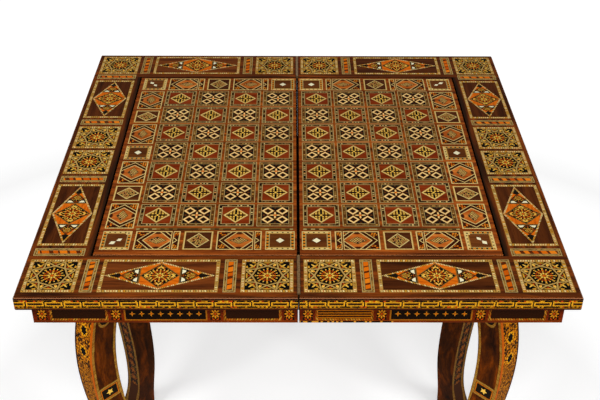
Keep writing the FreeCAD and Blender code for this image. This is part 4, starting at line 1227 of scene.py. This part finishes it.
def starMosaicFinish():
    f = TileFinish("starMosaic")
    t, leaf, stem = mosaicTile, mosaicTile["leaf"], mosaicTile["stem"]
    along, aside = f.spokes(f.u, f.v, 8)[1:]
    eighth = math.pi / 8
    halfway = along * math.cos(eighth) + aside * math.sin(eighth)  # along the line between two spokes
    beyond = along * math.sin(eighth) - aside * math.cos(eighth)
    tips = (along - t["tip"]) * t["slope"][0] - aside * t["slope"][1]
    straps = abs(halfway - t["octagon"]).least(abs(tips))
    low, high = f.au.least(f.av), f.au.most(f.av)
    leaves = (high - leaf["out"] > (low - leaf["bend"]) * leaf["lean"]) & low.span(leaf["from"], leaf["to"])
    offStem = abs(low - stem["at"] - (stem["out"] - high) * stem["lean"])
    stems = (offStem < stem["half"]) & (high > stem["from"])
    budOut, budLong, budWide = t["bud"]
    colour = f.paint(
        "black",
        *within(leaves, (1, "gold"), (low + high > leaf["cut"], "black")),
        (f.oval((low + high) * diagonal - budOut, (high - low) * diagonal, budLong, budWide), "corn"),
        (stems, "straw"),
        *((f.oval(along - out, aside, long, wide), tint) for out, long, wide, tint in t["onSpokes"]),
        *((f.oval(halfway - out, beyond, long, wide), tint) for out, long, wide, tint in t["between"]),
        *f.flower(f.u, f.v, t["flower"]),
        *below(straps, *t["strap"]),
        *below(f.edge, *t["frame"]),
        f.cordBorder(),
    )
    return f.finish(colour, f.fibre())


# Narrow bars of the frame: slanted orange blocks with dark ends.
barTile = {
    "slant": 0.35, "tileLot": 300, "pitch": 13.5,
    "blocks": ((0.0, ink(196, 82, 4)), (0.6, ink(226, 110, 10)), (1.0, ink(240, 134, 24))),
    "dark": {"lot": 90, "varies": 0.4, "least": 0.16, "tint": ink(92, 36, 4)},
    "rim": (4.6, "bone"), "checks": (1.2, 3.6), "checkPitch": 2.6, "field": 5.4,
}


def frameBarFinish():
    f = TileFinish("frameBar")
    t, dark = barTile, barTile["dark"]
    along = (f.u + f.v * t["slant"] + f.lot * t["tileLot"]) / t["pitch"]
    darkShare = f.chance(along + dark["lot"]) * dark["varies"] + dark["least"]
    blocks = f.mix(along.of("FRACT") < darkShare, f.ramp(f.chance(along), *t["blocks"]), dark["tint"])
    checks = f.mix(f.chance((f.run + f.edge) / t["checkPitch"]), "umber", "straw")
    colour = f.paint(
        "olive",
        *below(f.edge, t["rim"]),
        (f.edge.span(*t["checks"]), checks),
        (f.edge > t["field"], blocks),
    )
    return f.finish(colour, f.fibre())


# Long panels of the frame: a lozenge that holds a square of mosaic on its point between smaller ones.
panelTile = {
    "ground": {"dark": ink(72, 32, 9), "mid": ink(110, 53, 17), "light": ink(138, 70, 24)},
    "tileLot": 90, "shade": grey(0.5), "tip": 5, "lozenge": (80, 31.6), "cord": 3.0, "field": 2.6,
    "flameScale": (0.05, 0.3), "wings": 28.2,
    "flame": ((0.35, ink(180, 78, 4)), (0.5, ink(214, 100, 10)), (0.65, ink(232, 122, 22))),
    "square": (27, 27), "squareRims": ((-1.0, "olive"), (0.4, "black")), "squareField": 0.8,
    "squareBits": {"pitch": 3.6, "share": 0.6}, "bitsFrom": 11.5, "flower": 0.86, "flowerTo": 15.5,
    "strap": {"inside": 1.4, "band": (19.0, 22.0), "arms": 4},
    "flanks": 30.2, "pearl": {"inside": 4.8, "band": (31.6, 36.8)}, "flankOrange": 42,
    "flankTip": {"slope": 0.75, "from": 54.5},
    "small": (12.2, 10.2), "smallAt": 42, "smallRims": ((-1.8, "umber"), (0, "night")), "smallField": 0.3,
    "smallBits": {"pitch": 3.2, "share": 0.8},
    "rim": (5.2, "straw"),
}


def longPanelFinish():
    f = TileFinish("longPanel")
    t, strap, pearl, tip = panelTile, panelTile["strap"], panelTile["pearl"], panelTile["flankTip"]
    ground, fine = wood(f, (f.u, f.v, f.lot * t["tileLot"]), "x", t["ground"])
    # The panels of the right half and those that run from front to back are darker.
    darker = (f.held("turn", "Fac") > 0.5) | (f.here()[0] > 0)
    ground = f.mix(darker, ground, f.multiplied(ground, t["shade"]))
    x = f.au * t["lozenge"][0] / (f.halfU - t["tip"])
    y = f.av
    gem = f.lozenge(x, y, *t["lozenge"])
    square = f.lozenge(x, y, *t["square"])
    small = f.lozenge(abs(x - t["smallAt"]), y, *t["small"])
    reach = (x * x + y * y).of("SQRT")
    scaleU, scaleV = t["flameScale"]
    flame = f.ramp(f.noise(f.join(f.u * scaleU, f.v * scaleV, 0), 3, 0.6), *t["flame"])
    cross = (x + y).span(*strap["band"]) & (x.least(y) < strap["arms"])
    colour = f.paint(
        ground,
        (gem > 0, f.cord(f.u, f.v, t["cord"])),
        *within(gem > t["field"], (1, "olive"), (x < t["wings"], flame)),
        *above(square, *t["squareRims"]),
        *within((square > t["squareField"]) & (reach > t["bitsFrom"]),
                f.bits(x + y, x - y, **t["squareBits"])),
        *within((square > t["squareField"]) & (reach < t["flowerTo"]), *f.flower(f.u, f.v, t["flower"])),
        ((square > strap["inside"]) & cross, "corn"),
        *within(
            (gem > t["field"]) & (x > t["flanks"]),
            (1, "black"),
            ((gem > pearl["inside"]) & x.span(*pearl["band"]), "pearl"),
            (x > t["flankOrange"], "orange"),
            (x - y * tip["slope"] > tip["from"], "night"),
            *above(small, *t["smallRims"]),
            *within(small > t["smallField"], f.bits(x + y, x - y, **t["smallBits"])),
        ),
        *below(f.edge, t["rim"]),
        f.cordBorder(),
    )
    return f.finish(colour, fine)


def flatRule(middle, width, depth):
    return "plain", 0


def longRule(middle, width, depth):
    return "plain", 90 if depth > width else 0


# Which border tile lies where, in metres from the middle of the top.
borderPlan = {"strip": 0.01, "column": 0.25, "corner": 0.22, "long": 0.06, "pearlX": 0.04, "pearlY": 0.05}
cornerTurns = {(True, True): 0, (False, True): 90, (False, False): 180, (True, False): 270}


def borderRule(middle, width, depth):
    plan = borderPlan
    if depth < plan["strip"]:
        return "dashes", 0
    column = abs(middle.x) > plan["column"]
    if column and abs(middle.y) > plan["corner"]:
        return "corner", cornerTurns[(middle.x > 0, middle.y > 0)]
    turn = 90 if column else 0
    length = depth if column else width
    if length > plan["long"]:
        return ("lozenge", turn) if column else ("split", 180 if middle.x > 0 else 0)
    if abs(middle.x) < plan["pearlX"] or column and abs(middle.y) < plan["pearlY"]:
        return "pearl", turn
    return "dark", turn


tileSets = (
    ("RedSquares", "red_squares", "red_mosaic", {"plain": redSquareFinish()}, flatRule, 11),
    ("DarkSquares", "dark_squares", "dark_mosaic", {"plain": darkSquareFinish()}, flatRule, 21),
    ("BorderTiles", "border_tiles", "border_mosaic", {
        "lozenge": borderLozengeFinish("borderLozenge", False), "dark": borderDarkFinish(),
        "pearl": borderPearlFinish(), "corner": borderCornerFinish(), "dashes": dashStripFinish(),
        "split": borderLozengeFinish("borderSplitLozenge", True)}, borderRule, 31),
    ("StarMosaics", "frame_mosaics", "gold_mosaic", {"plain": starMosaicFinish()}, flatRule, 41),
    ("FrameBars", "frame_bars", "bar_mosaic", {"plain": frameBarFinish()}, longRule, 51),
    ("LongPanels", "frame_panels", "panel_mosaic", {"plain": longPanelFinish()}, longRule, 61),
)
for index, side in enumerate(sides):
    for piece, node, slot, finishes, rule, seed in tileSets:
        layTiles(side + piece, f"{side}_{node}", f"{side}_half", finishes, rule, seed + index)
print("tiles laid")

# Floor: pale cloth that keeps the shadow near the table and glows more and more away from it.
floorLook = {
    "reach": 7.0, "haze": 0.002, "cloth": ((0.3, grey(0.93)), (0.7, grey(0.95))),
    "glow": 0.2, "level": 2.35, "shadowFrom": 750, "shadowRun": 900, "fades": 1.4, "far": grey(0.46),
}


def makeFloor(look):
    mesh = bpy.data.meshes.new("studioFloor")
    reach = look["reach"]
    corners = [(-reach, -reach, 0), (reach, -reach, 0), (reach, reach, 0), (-reach, reach, 0)]
    mesh.from_pydata(corners, [], [(0, 1, 2, 3)])
    f = Finish("paleFloor")
    x, y, z = f.here()
    colour = f.ramp(f.speckle((x, y, z), look["haze"], 2, 0.5), *look["cloth"])
    cloth = f.node("ShaderNodeBsdfDiffuse", None, {"Color": colour})
    away = (((x * x + y * y).of("SQRT") - look["shadowFrom"]) / look["shadowRun"]).limited(0, 1)
    light = f.ramp(away * look["fades"], (0.0, white), (1.0, look["far"]))
    glow = f.node("ShaderNodeEmission", None, {"Color": light, "Strength": look["level"]})
    share = f.seen() * (look["glow"] + away * (1 - look["glow"]))
    both = f.node("ShaderNodeMixShader", None, {0: share, 1: cloth, 2: glow})
    f.node("ShaderNodeOutputMaterial", None, {"Surface": both})
    mesh.materials.append(f.block)
    floor = bpy.data.objects.new("studioFloor", mesh)
    scene.collection.objects.link(floor)


makeFloor(floorLook)
print("floor laid")
